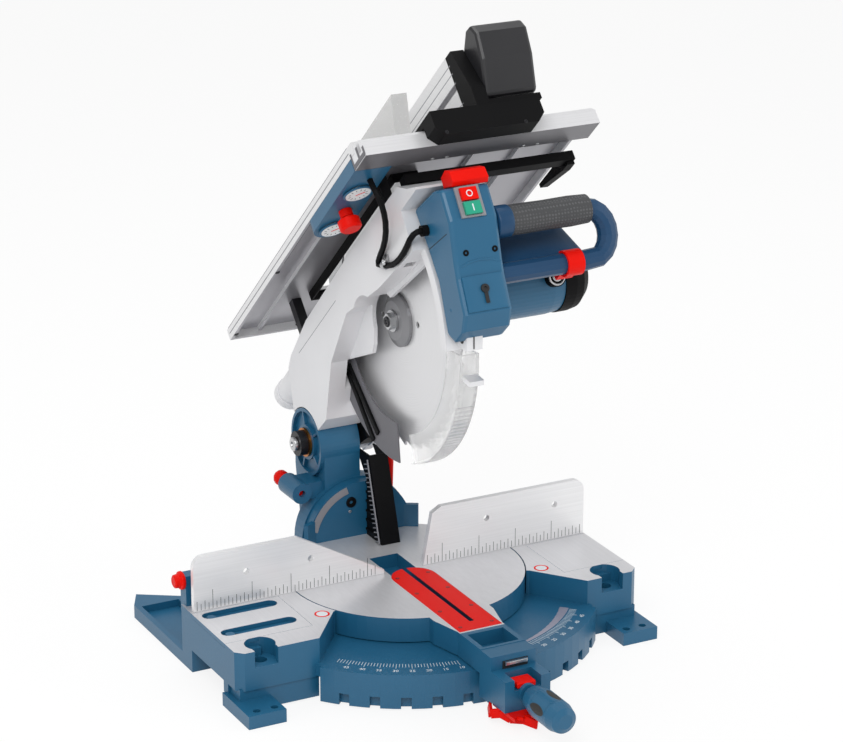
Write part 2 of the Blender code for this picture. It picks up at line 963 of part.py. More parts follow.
def base_casting():
    """Seat ring, scale flange, wings, feet and rear legs in one casting, open below."""
    seat = rod("base_casting", root, "Z", (0, 0, 0), SEAT_RADIUS, FLANGE_UNDER, SEAT_TOP, 48)
    flange = slab(
        "scale_flange",
        root,
        "Z",
        [(0, 0)] + arc((0, 0), FLANGE_RADIUS, -90 - FLANGE_HALF_DEG, -90 + FLANGE_HALF_DEG, 24),
        FLANGE_UNDER,
        FLANGE_TOP,
    )
    join(seat, flange)
    for sign, end in ((-1, WING_LEFT), (1, WING_RIGHT)):
        wing = slab("wing", root, "Z", wing_outline(sign, end), WING_UNDER, TABLE_Z)
        well = rod(
            "turn_well",
            root,
            "Z",
            (0, 0, 0),
            DISC_RADIUS + DISC_CLEAR,
            SEAT_TOP,
            TABLE_Z + OVERRUN,
            64,
        )
        cut(wing, well)
        inset = end - WING_WALL
        hollow = slab(
            "wing_hollow",
            root,
            "Z",
            [
                (sign * inset, WING_REAR - WING_WALL),
                (sign * inset, -WING_FRONT + POCKET_DEPTH + WING_WALL * 2),
                (sign * WING_NOSE_X, -WING_FRONT + POCKET_DEPTH + WING_WALL * 2),
                (sign * (DISC_RADIUS + WING_WALL * 2), -WING_NECK_Y + WING_WALL),
                (sign * (DISC_RADIUS + WING_WALL * 2), WING_STEP_Y - WING_WALL),
                (sign * (WING_STEP_X + WING_WALL / 2), WING_STEP_Y - WING_WALL),
                (sign * (WING_STEP_X + WING_WALL * 2), WING_REAR - WING_WALL),
            ],
            WING_UNDER - OVERRUN,
            TABLE_Z - WING_FLOOR,
        )
        cut(wing, hollow)
        low_block = box(
            "front_block",
            root,
            (min(sign * WING_NOSE_X, sign * (end - WING_WALL / 2)), -WING_FRONT + BITE, FLANGE_UNDER),
            (
                max(sign * WING_NOSE_X, sign * (end - WING_WALL / 2)),
                -WING_FRONT + POCKET_DEPTH + WING_WALL,
                WING_UNDER + BITE,
            ),
        )
        low_room = box(
            "front_block_room",
            root,
            (
                min(sign * (WING_NOSE_X + WING_WALL), sign * (end - WING_WALL * 2)),
                -WING_FRONT + WING_WALL,
                -OVERRUN,
            ),
            (
                max(sign * (WING_NOSE_X + WING_WALL), sign * (end - WING_WALL * 2)),
                -WING_FRONT + POCKET_DEPTH,
                WING_UNDER - WING_WALL,
            ),
        )
        cut(low_block, low_room)
        join(wing, low_block)
        place = (sign * (end - POCKET_INSET), -WING_FRONT + POCKET_RADIUS, 0)
        pocket = rod("bolt_pocket", root, "Z", place, POCKET_RADIUS, POCKET_FLOOR, TABLE_Z + OVERRUN, 28)
        mouth = box(
            "pocket_mouth",
            root,
            (place[0] - POCKET_MOUTH, -WING_FRONT - OVERRUN, POCKET_FLOOR),
            (place[0] + POCKET_MOUTH, place[1], TABLE_Z + OVERRUN),
        )
        bore = rod("pocket_bore", root, "Z", place, POCKET_BORE, -OVERRUN, TABLE_Z, 20)
        cut(wing, mouth, bore)
        cut(wing, pocket)
        rim_angle = radians(-90 + FLANGE_HALF_DEG)
        rim_reach = FLANGE_RADIUS - FLANGE_SKIN / 2
        rim = (rim_reach * cos(rim_angle), rim_reach * sin(rim_angle))
        shoulder = slab(
            "flange_shoulder",
            root,
            "Z",
            [
                (0, -SEAT_RADIUS / 2),
                (sign * rim[0], rim[1]),
                (sign * (WING_NOSE_X + WING_WALL), -WING_FRONT + WING_WALL / 2),
                (sign * (WING_NOSE_X + WING_WALL), -WING_NECK_Y),
                (sign * WING_NECK_X, -WING_NECK_Y / 2),
            ],
            FLANGE_TOP - FLANGE_SKIN * 2,
            FLANGE_TOP,
        )
        join(seat, wing, foot(sign, end), leg(sign, end), shoulder)
    seat_hollow = turned(
        "seat_hollow",
        root,
        "Z",
        (0, 0, 0),
        [
            (SEAT_RADIUS - SEAT_WALL, SEAT_TOP - SEAT_WALL),
            (SEAT_RADIUS - SEAT_WALL, -OVERRUN),
            (SEAT_BOSS, -OVERRUN),
            (SEAT_BOSS, SEAT_TOP - SEAT_WALL),
        ],
        48,
    )
    flange_hollow = slab(
        "flange_hollow",
        root,
        "Z",
        arc((0, 0), FLANGE_RADIUS - FLANGE_SKIN, -90 - FLANGE_HALF_DEG + 4, -90 + FLANGE_HALF_DEG - 4, 20)
        + arc((0, 0), SEAT_RADIUS + SEAT_WALL, -90 + FLANGE_HALF_DEG - 8, -90 - FLANGE_HALF_DEG + 8, 12),
        -OVERRUN,
        FLANGE_TOP - FLANGE_SKIN,
    )
    cut(seat, seat_hollow, flange_hollow)
    for i in range(FLANGE_NOTCHES):
        angle = radians(-90 + FLANGE_HALF_DEG * FLANGE_NOTCH_SPAN_SHARE * (2 * i / (FLANGE_NOTCHES - 1) - 1))
        notch = box(
            "rim_notch",
            root,
            (-FLANGE_NOTCH_WIDTH / 2, -FLANGE_SKIN - OVERRUN, -OVERRUN),
            (FLANGE_NOTCH_WIDTH / 2, FLANGE_SKIN, FLANGE_UNDER + FLANGE_NOTCH_HEIGHT),
        )
        notch.location = (FLANGE_RADIUS * cos(angle), FLANGE_RADIUS * sin(angle), 0)
        notch.rotation_euler = (0, 0, angle + pi / 2)
        cut(seat, notch)
    for sign, end, inner in ((-1, WING_LEFT, EXT_LEFT_INNER), (1, WING_RIGHT, EXT_RIGHT_INNER)):
        xs = sorted((sign * (inner - GAP), sign * (end + OVERRUN)))
        recess = box(
            "extension_recess",
            root,
            (xs[0], -EXT_FRONT - GAP, TABLE_Z - EXT_THICK - GAP),
            (xs[1], -EXT_BACK + GAP, TABLE_Z + OVERRUN),
        )
        cut(seat, recess)
    block = box(
        "fence_block",
        root,
        (-WING_LEFT + BLOCK_IN, WING_REAR - BLOCK_DEEP, TABLE_Z - WING_FLOOR),
        (-WING_LEFT + BLOCK_IN + BLOCK_WIDE, WING_REAR + BLOCK_DEEP, BLOCK_TOP),
    )
    screw_bore = rod(
        "fence_screw_bore",
        root,
        "X",
        (0, WING_REAR, FENCE_KNOB_Z),
        FENCE_SCREW + GAP,
        -WING_LEFT + BLOCK_IN - OVERRUN,
        -WING_LEFT + BLOCK_IN + BLOCK_WIDE + OVERRUN,
        20,
    )
    join(seat, block)
    cut(seat, screw_bore)
    for y in (-EXT_SLOT_NEAR, -EXT_SLOT_FAR):
        bolt = rod(
            "slot_bolt",
            root,
            "Z",
            (-WING_LEFT + EXT_BOLT_X, y, 0),
            EXT_BOLT_RADIUS,
            TABLE_Z - EXT_THICK - BITE,
            TABLE_Z - EXT_THICK + EXT_BOLT_HEIGHT,
            16,
        )
        join(seat, bolt)
    return keep(seat, blue_paint)


def extension(name, sign, end, inner, slotted):
    """A sliding plate that fills the recess in a wing."""
    holes = []
    if slotted:
        for y in (-EXT_SLOT_NEAR, -EXT_SLOT_FAR):
            half = EXT_SLOT_WIDTH / 2
            x0 = sign * (end - EXT_SLOT_START - half)
            x1 = sign * (end - EXT_SLOT_START - EXT_SLOT_LENGTH + half)
            holes.append(arc((x0, y), half, 90, 270, 8) + arc((x1, y), half, -90, 90, 8))
    xs = sorted((sign * inner, sign * end))
    plate = slab(
        name,
        root,
        "Z",
        rectangle(xs[0], -EXT_FRONT, xs[1], -EXT_BACK),
        TABLE_Z - EXT_THICK,
        TABLE_Z,
        holes,
    )
    return keep(plate, aluminium)


def fence(name, outline, holes, foot_x0, foot_x1):
    """A fence plate with a foot and a rib behind it."""
    plate = slab(name, root, "Y", outline, 0, FENCE_THICK, holes)
    base = box(
        "fence_foot",
        root,
        (foot_x0, FENCE_THICK - BITE, TABLE_Z + GAP),
        (foot_x1, FENCE_FOOT_DEPTH, TABLE_Z + GAP + FENCE_FOOT_THICK),
    )
    join(plate, base)
    count = 3
    for i in range(count):
        x = foot_x0 + (foot_x1 - foot_x0) * (i + 0.5) / count
        rib = slab(
            "fence_rib",
            root,
            "X",
            [
                (FENCE_THICK - BITE, TABLE_Z + FENCE_FOOT_THICK / 2),
                (FENCE_FOOT_DEPTH - BITE, TABLE_Z + FENCE_FOOT_THICK / 2),
                (FENCE_THICK - BITE, FENCE_LEFT_TOP - FENCE_TOP_RIM * 4),
            ],
            x - FENCE_RIB / 2,
            x + FENCE_RIB / 2,
        )
        join(plate, rib)
    return keep(plate, aluminium)


def fences():
    """Left fence with its long bevel cut, right fence nearly square."""
    z0 = TABLE_Z + GAP
    left = [
        (-FENCE_LEFT_END, z0),
        *arc((-FENCE_LEFT_END + FENCE_CORNER, FENCE_LEFT_TOP - FENCE_CORNER), FENCE_CORNER, 180, 90, 6),
        (-FENCE_CUT_TOP, FENCE_LEFT_TOP),
        (-FENCE_LEFT_INNER, z0 + FENCE_RIB),
        (-FENCE_LEFT_INNER, z0),
    ]
    right = [
        (FENCE_RIGHT_INNER, z0),
        (FENCE_RIGHT_END, z0),
        *arc((FENCE_RIGHT_END - FENCE_CORNER, FENCE_RIGHT_TOP - FENCE_CORNER), FENCE_CORNER, 0, 90, 6),
        (FENCE_RIGHT_INNER + FENCE_SLANT * 2, FENCE_RIGHT_TOP),
        (FENCE_RIGHT_INNER + FENCE_SLANT, FENCE_RIGHT_TOP - FENCE_CORNER / 2),
    ]
    hole_z = (TABLE_Z + FENCE_LEFT_TOP) / 2 + FENCE_HOLE_RISE
    right_z = (TABLE_Z + FENCE_RIGHT_TOP) / 2 + FENCE_HOLE_RISE * 2
    left_holes = [circle((x, hole_z), FENCE_HOLE, 16) for x in FENCE_LEFT_HOLES]
    right_holes = [circle((x, right_z), FENCE_HOLE, 16) for x in FENCE_RIGHT_HOLES]
    fence("fence_left", left, left_holes, -FENCE_LEFT_END + FENCE_CORNER * 2, -FENCE_FOOT_INNER)
    fence("fence_right", right, right_holes, FENCE_FOOT_INNER, FENCE_RIGHT_END - FENCE_CORNER)


def fence_knob():
    """The red knob whose screw passes the block beside the left fence."""
    face = -WING_LEFT + BLOCK_IN - GAP
    knob_axis = empty("fence_knob_axis", root, (face, WING_REAR, FENCE_KNOB_Z))
    profile = [(u * FENCE_KNOB, v * FENCE_KNOB_LENGTH) for u, v in KNOB_PROFILE_SHARES]
    knob = turned("fence_knob", knob_axis, "X", (0, 0, 0), profile, 18)
    screw = rod("fence_screw", knob_axis, "X", (0, 0, 0), FENCE_SCREW, -BITE, BLOCK_WIDE, 16)
    join(knob, screw)
    keep(knob, red_plastic)


def turntable():
    """The round table with its front arm, its blade trough and the fixed half of the bevel joint."""
    disc = rod("turntable", turn_axis, "Z", (0, 0, 0), DISC_RADIUS, DISC_UNDER, TABLE_Z, 72)
    beam = slab(
        "arm_beam",
        turn_axis,
        "Z",
        [
            (-ARM_HALF_WIDE, -DISC_RADIUS * ARM_ROOT_SHARE),
            (-ARM_HALF_WIDE, -ARM_TAPER_START),
            (-ARM_HALF, -ARM_TAPER_END),
            (-ARM_HALF, -ARM_BOX_BACK - BITE),
            (ARM_HALF, -ARM_BOX_BACK - BITE),
            (ARM_HALF, -ARM_TAPER_END),
            (ARM_HALF_WIDE, -ARM_TAPER_START),
            (ARM_HALF_WIDE, -DISC_RADIUS * ARM_ROOT_SHARE),
        ],
        DISC_UNDER,
        TABLE_Z,
    )
    nose = slab(
        "arm_nose",
        turn_axis,
        "X",
        [
            (-ARM_BOX_BACK, ARM_BOX_TOP),
            (-NOSE_STEP, ARM_BOX_TOP),
            (-NOSE_STEP, NOSE_LOW_TOP),
            (-ARM_FRONT, NOSE_LOW_TOP),
            (-ARM_FRONT, DETENT_Z + GAP),
            (-DETENT_BACK, DETENT_Z + GAP),
            (-DETENT_BACK, ARM_BOX_UNDER),
            (-ARM_BOX_BACK, ARM_BOX_UNDER),
        ],
        -ARM_HALF,
        ARM_HALF,
    )
    join(disc, beam, nose)
    lug = slab(
        "bevel_lug",
        turn_axis,
        "Y",
        arc((0, TABLE_Z), LUG_RADIUS, -49, 229, 40),
        SEAT_RADIUS + BITE,
        LUG_BACK,
    )
    rear_wall = slab(
        "rear_wall",
        turn_axis,
        "Z",
        sector(
            DISC_RADIUS - DISC_CLEAR * 2,
            DISC_RADIUS - REAR_WALL,
            90 - REAR_WALL_HALF_DEG,
            90 + REAR_WALL_HALF_DEG,
            20,
        ),
        TABLE_Z - BITE,
        REAR_WALL_TOP,
    )
    join(disc, rear_wall)
    behind = box(
        "hub_room",
        turn_axis,
        (-HUB_RADIUS - DISC_CLEAR, LUG_BACK, -OVERRUN),
        (HUB_RADIUS + DISC_CLEAR, DISC_RADIUS + OVERRUN, REAR_WALL_TOP + OVERRUN),
    )
    cut(disc, behind)
    duct_room = box(
        "duct_room",
        turn_axis,
        (-LUG_RADIUS - OVERRUN, 0, TABLE_Z),
        (LUG_RADIUS + OVERRUN, LUG_FRONT, TABLE_Z + LUG_RADIUS * 2),
    )
    cut(lug, duct_room)
    join(disc, lug)
    trough = slab(
        "trough",
        turn_axis,
        "Z",
        [
            (-TROUGH_HALF, KERF_SLOT_BACK),
            (-TROUGH_HALF, -KERF_SLOT_FRONT),
            (TROUGH_HALF, -KERF_SLOT_FRONT),
            (TROUGH_HALF, KERF_SLOT_BACK),
        ],
        TROUGH_Z,
        TABLE_Z + OVERRUN,
    )
    guard_room = slab(
        "guard_room",
        turn_axis,
        "Z",
        rectangle(-GUARD_ROOM_LEFT, KERF_BACK - KERF_HALF, TROUGH_HALF, GUARD_ROOM_BACK),
        TROUGH_Z,
        TABLE_Z + OVERRUN,
    )
    seat = slab(
        "kerf_seat",
        turn_axis,
        "Z",
        kerf_outline(GAP),
        TABLE_Z - KERF_THICK - GAP,
        TABLE_Z + OVERRUN,
    )
    under = slab(
        "arm_under",
        turn_axis,
        "Z",
        rectangle(-ARM_HALF + ARM_WALL, -ARM_BOX_BACK, ARM_HALF - ARM_WALL, -SEAT_RADIUS - SEAT_WALL * 2),
        DISC_UNDER - OVERRUN,
        TROUGH_Z - ARM_WALL,
    )
    window = box(
        "nose_window",
        turn_axis,
        (-WINDOW_HALF, -ARM_FRONT - OVERRUN, WINDOW_Z - WINDOW_HEIGHT / 2),
        (WINDOW_HALF, -ARM_FRONT + TAB_LENGTH * 2, ARM_BOX_TOP + OVERRUN),
    )
    pit = box(
        "nose_pit",
        turn_axis,
        (-PIT_HALF, -ARM_BOX_BACK + ARM_WALL / 2, PIT_FLOOR),
        (PIT_HALF, -PIT_BACK, TABLE_Z + OVERRUN),
    )
    cut(disc, trough, guard_room, seat, under, window, pit)
    boss = rod(
        "spindle_boss",
        turn_axis,
        "Y",
        (0, 0, MITRE_AXIS_Z),
        MITRE_SHAFT * 1.6,
        -ARM_FRONT - MITRE_SHAFT / 2,
        -ARM_FRONT + BITE,
        24,
    )
    shaft = rod(
        "mitre_spindle",
        turn_axis,
        "Y",
        (0, 0, MITRE_AXIS_Z),
        MITRE_SHAFT,
        -MITRE_HANDLE_BACK - MITRE_SHAFT,
        -ARM_FRONT + BITE,
        20,
    )
    join(disc, boss, shaft)
    return keep(disc, aluminium)


def kerf_outline(grow):
    """The kerf plate's outline, round at the back."""
    half = KERF_HALF + grow
    back = arc((0, KERF_BACK - KERF_HALF), half, 0, 180, 14)
    return [(half, -KERF_FRONT - grow)] + back + [(-half, -KERF_FRONT - grow)]


def kerf_plate():
    """The red insert. Its slot is narrow on top and wider below, where the tilted blade comes through."""
    plate = slab("kerf_plate", turn_axis, "Z", kerf_outline(0), TABLE_Z - KERF_THICK, TABLE_Z)
    low = TABLE_Z - KERF_THICK - OVERRUN
    slot = slab(
        "kerf_slot",
        turn_axis,
        "Y",
        [
            (-KERF_SLOT_HALF, TABLE_Z + OVERRUN),
            (-KERF_SLOT_HALF, low),
            (KERF_SLOT_HALF + KERF_THICK + OVERRUN, low),
            (KERF_SLOT_HALF, TABLE_Z),
            (KERF_SLOT_HALF, TABLE_Z + OVERRUN),
        ],
        -KERF_SLOT_FRONT,
        KERF_BACK + OVERRUN,
    )
    cut(plate, slot)
    return keep(plate, red_plastic)


def mitre_lock():
    """The barrel handle on the arm's nose, its rubber band, the detent lever and the red tab."""
    length = MITRE_HANDLE_FRONT - MITRE_HANDLE_BACK
    handle_axis = empty("handle_axis", turn_axis, (0, -MITRE_HANDLE_BACK, MITRE_AXIS_Z))
    body = turned("mitre_handle", handle_axis, "Y", (0, -length, 0), mitre_profile(length), 32)
    socket = rod(
        "handle_socket",
        handle_axis,
        "Y",
        (0, 0, 0),
        MITRE_SHAFT + GAP,
        -MITRE_SHAFT - GAP * 2,
        OVERRUN,
        20,
    )
    cut(body, socket)
    band_cut = turned(
        "band_seat",
        handle_axis,
        "Y",
        (0, -length * BAND_PLACE_SHARE, 0),
        [
            (MITRE_HANDLE_RADIUS * 1.2, BAND_WIDTH / 2 + GAP),
            (MITRE_HANDLE_RADIUS * 1.2, -BAND_WIDTH / 2 - GAP),
            (MITRE_HANDLE_RADIUS - BAND_DEPTH - GAP, -BAND_WIDTH / 2 - GAP),
            (MITRE_HANDLE_RADIUS - BAND_DEPTH - GAP, BAND_WIDTH / 2 + GAP),
        ],
        32,
    )
    cut(body, band_cut)
    keep(body, blue_paint)
    band = turned(
        "mitre_handle_grip",
        handle_axis,
        "Y",
        (0, -length * BAND_PLACE_SHARE, 0),
        [
            (MITRE_HANDLE_RADIUS, BAND_WIDTH / 2),
            (MITRE_HANDLE_RADIUS, -BAND_WIDTH / 2),
            (MITRE_HANDLE_RADIUS - BAND_DEPTH, -BAND_WIDTH / 2),
            (MITRE_HANDLE_RADIUS - BAND_DEPTH, BAND_WIDTH / 2),
        ],
        32,
    )
    keep(band, dark_rubber)
    detent_axis = empty("detent_axis", turn_axis, (0, -DETENT_BACK, DETENT_Z))
    depth = DETENT_FRONT - DETENT_BACK
    fingers = 5
    outline = [(-DETENT_HALF, -GAP - DETENT_THICK), (-DETENT_HALF, -depth + DETENT_FINGER)]
    for i in range(fingers * 4 + 1):
        x = -DETENT_HALF + 2 * DETENT_HALF * i / (fingers * 4)
        outline.append((x, -depth + DETENT_FINGER * (1 - cos(2 * pi * i / 4)) / 2))
    outline += [(DETENT_HALF, -GAP - DETENT_THICK)]
    lever = slab("detent_lever", detent_axis, "Z", outline, -DETENT_THICK, 0)
    lip = box(
        "detent_lip",
        detent_axis,
        (-DETENT_HALF + DETENT_FINGER, -depth + DETENT_FINGER * 1.5, -DETENT_DROP),
        (DETENT_HALF - DETENT_FINGER, -depth + DETENT_FINGER * 2.5, -DETENT_THICK + BITE / 2),
    )
    join(lever, lip)
    keep(lever, red_plastic)
    tab = box(
        "release_tab",
        turn_axis,
        (-TAB_HALF, -ARM_FRONT + BITE + GAP, WINDOW_Z - WINDOW_HEIGHT / 2 + GAP),
        (TAB_HALF, -ARM_FRONT + TAB_LENGTH * 1.8, WINDOW_Z + GAP),
    )
    keep(tab, red_plastic, GAP * 4)


def mitre_profile(length):
    """Half section of the handle, from its back face to its round front end."""
    shape = ((0.70, 1.0), (1.0, 0.92), (1.24, 0.70), (1.24, 0.20), (1.05, 0.05), (0.60, 0.0))
    return [(0, length)] + [(MITRE_HANDLE_WAIST * r, length * t) for r, t in shape] + [(0, 0)]


def moved(outline, y, z):
    """An outline moved to another place."""
    return [(u + y, v + z) for u, v in outline]


def bevel_hub():
    """The tilting column: hub plate, web, pivot barrel with its ribbed face, lock pin boss."""
    front = LUG_BACK + GAP
    hub = rod("bevel_hub", column_frame, "Y", (0, 0, TABLE_Z), HUB_RADIUS, front, front + HUB_THICK, 56)
    web = slab(
        "column_web",
        column_frame,
        "X",
        [
            (front, TABLE_Z - HUB_RADIUS * HUB_FOOT_SHARE),
            (HUB_BACK, TABLE_Z - HUB_RADIUS * HUB_FOOT_SHARE + HUB_THICK),
            (PIVOT_Y + BARREL_RADIUS, PIVOT_Z - BARREL_RADIUS),
            (PIVOT_Y + BARREL_RADIUS * BARREL_SIDE_SHARE, PIVOT_Z),
            (PIVOT_Y - BARREL_RADIUS * BARREL_SIDE_SHARE, PIVOT_Z),
            (front, PIVOT_Z - BARREL_RADIUS * 1.35),
        ],
        -COLUMN_LEFT,
        COLUMN_RIGHT,
    )
    barrel = rod(
        "barrel",
        column_frame,
        "X",
        (0, PIVOT_Y, PIVOT_Z),
        BARREL_RADIUS,
        -BARREL_LEFT,
        BARREL_RIGHT,
        56,
    )
    boss = rod(
        "lock_boss",
        column_frame,
        "Y",
        (-LOCKPIN_X, 0, LOCKPIN_Z),
        LOCKPIN_BOSS,
        LOCKPIN_FRONT,
        LOCKPIN_BACK,
        28,
    )
    arm = slab(
        "lock_arm",
        column_frame,
        "X",
        [
            (LOCKPIN_FRONT + BITE * 2, LOCKPIN_Z - LOCKPIN_BOSS * 0.8),
            (LOCKPIN_BACK - BITE * 2, LOCKPIN_Z - LOCKPIN_BOSS * 0.8),
            (LOCKPIN_BACK - BITE * 2, LOCKPIN_Z + LOCKPIN_BOSS * 0.8),
            (LOCKPIN_FRONT + BITE * 2, LOCKPIN_Z + LOCKPIN_BOSS * 0.8),
        ],
        -LOCKPIN_X,
        -COLUMN_LEFT + BITE,
    )
    join(hub, web, barrel, boss, arm)
    well = turned(
        "barrel_well",
        column_frame,
        "X",
        (-BARREL_LEFT, PIVOT_Y, PIVOT_Z),
        [
            (BARREL_RADIUS - BARREL_RIM, BARREL_WELL),
            (BARREL_RADIUS - BARREL_RIM, -OVERRUN),
            (BUSH_RADIUS + BARREL_RIM, -OVERRUN),
            (BUSH_RADIUS + BARREL_RIM, BARREL_WELL),
        ],
        48,
    )
    cut(hub, well)
    for i in range(BARREL_RIBS):
        rib = box(
            "barrel_rib",
            column_frame,
            (-BARREL_LEFT + RIB_THICK / 3, BUSH_RADIUS, -RIB_THICK / 2),
            (-BARREL_LEFT + BARREL_WELL + BITE, BARREL_RADIUS - BARREL_RIM / 2, RIB_THICK / 2),
        )
        rib.location = (0, PIVOT_Y, PIVOT_Z)
        rib.rotation_euler = (2 * pi * i / BARREL_RIBS, 0, 0)
        join(hub, rib)
    bore = rod(
        "pivot_bore", column_frame, "X", (
            0,
            PIVOT_Y,
            PIVOT_Z,
        ), PIVOT_SHAFT + GAP, -BARREL_LEFT - OVERRUN, BARREL_RIGHT + OVERRUN, 40
    )
    pin_bore = rod(
        "pin_bore",
        column_frame,
        "Y",
        (-LOCKPIN_X, 0, LOCKPIN_Z),
        LOCKPIN_SHAFT + GAP,
        LOCKPIN_FRONT - OVERRUN,
        LOCKPIN_BACK + OVERRUN,
        20,
    )
    cut(hub, bore, pin_bore)
    keep(hub, blue_paint)
    bush = turned(
        "pivot_bush",
        column_frame,
        "X",
        (-BARREL_LEFT - GAP - BUSH_LENGTH, PIVOT_Y, PIVOT_Z),
        [
            (BUSH_RADIUS, BUSH_LENGTH),
            (BUSH_RADIUS, 0),
            (PIVOT_SHAFT + GAP, 0),
            (PIVOT_SHAFT + GAP, BUSH_LENGTH),
        ],
        40,
    )
    keep(bush, bronze)


def column_small_parts():
    """Lock pin, bevel clamp and the ribbed lower duct."""
    pin_axis = empty("pin_axis", column_frame, (-LOCKPIN_X, LOCKPIN_BACK, LOCKPIN_Z))
    pin = rod(
        "lock_pin",
        pin_axis,
        "Y",
        (0, 0, 0),
        LOCKPIN_SHAFT,
        -LOCKPIN_BACK + LOCKPIN_FRONT + LOCKPIN_SUNK,
        LOCKPIN_KNOB + LOCKPIN_STAND,
        20,
    )
    knob = ball("lock_knob", pin_axis, (0, GAP + LOCKPIN_KNOB + LOCKPIN_STAND, 0), LOCKPIN_KNOB)
    join(pin, knob)
    keep(pin, red_plastic)
    clamp_axis = empty("clamp_axis", column_frame, (CLAMP_X, LUG_BACK + GAP + HUB_THICK + GAP, CLAMP_Z))
    clamp = rod("bevel_clamp", clamp_axis, "Y", (0, 0, 0), CLAMP_RADIUS, 0, CLAMP_RADIUS * 1.4, 28)
    handle = rod(
        "clamp_handle",
        clamp_axis,
        "Z",
        (0, CLAMP_RADIUS, 0),
        CLAMP_RADIUS * 0.45,
        0,
        CLAMP_LENGTH,
        16,
        CLAMP_RADIUS * 0.6,
    )
    join(clamp, handle)
    keep(clamp, red_plastic)
    front = [
        (DUCT_FOOT_Y, TABLE_Z + GAP),
        (DUCT_TOP_Y, DUCT_TOP_Z),
    ]
    back = [
        (DUCT_TOP_Y + DUCT_DEPTH, DUCT_TOP_Z),
        (LUG_FRONT - RUN_GAP * 2, TABLE_Z + HUB_RADIUS + RUN_GAP),
        (LUG_FRONT - RUN_GAP * 2, TABLE_Z + GAP),
    ]
    duct = slab("lower_duct", column_frame, "X", front + back, DUCT_LEFT, DUCT_RIGHT)
    slope = (DUCT_TOP_Y - DUCT_FOOT_Y) / (DUCT_TOP_Z - TABLE_Z)
    channel = slab(
        "duct_channel",
        column_frame,
        "X",
        [
            (DUCT_FOOT_Y + DUCT_WALL * 1.5, TABLE_Z + DUCT_WALL),
            (DUCT_TOP_Y + DUCT_WALL + slope * OVERRUN, DUCT_TOP_Z + OVERRUN),
            (DUCT_TOP_Y + DUCT_DEPTH + OVERRUN * 2, DUCT_TOP_Z + OVERRUN),
            (LUG_FRONT + OVERRUN, TABLE_Z + HUB_RADIUS),
            (LUG_FRONT + OVERRUN, TABLE_Z + DUCT_WALL),
        ],
        DUCT_LEFT + DUCT_WALL,
        DUCT_RIGHT - DUCT_WALL,
    )
    cut(duct, channel)
    for i in range(DUCT_RUNGS):
        z = TABLE_Z + (DUCT_TOP_Z - TABLE_Z) * (i + 0.7) / (DUCT_RUNGS + 0.6)
        y = DUCT_FOOT_Y + slope * (z - TABLE_Z)
        rung = box(
            "rung",
            column_frame,
            (DUCT_LEFT - RUNG_DEPTH, y + DUCT_WALL, z - RUNG_HEIGHT / 2),
            (DUCT_LEFT + DUCT_WALL / 2, LUG_FRONT - RUN_GAP * 3, z + RUNG_HEIGHT / 2),
        )
        join(duct, rung)
    keep(duct, black_plastic)


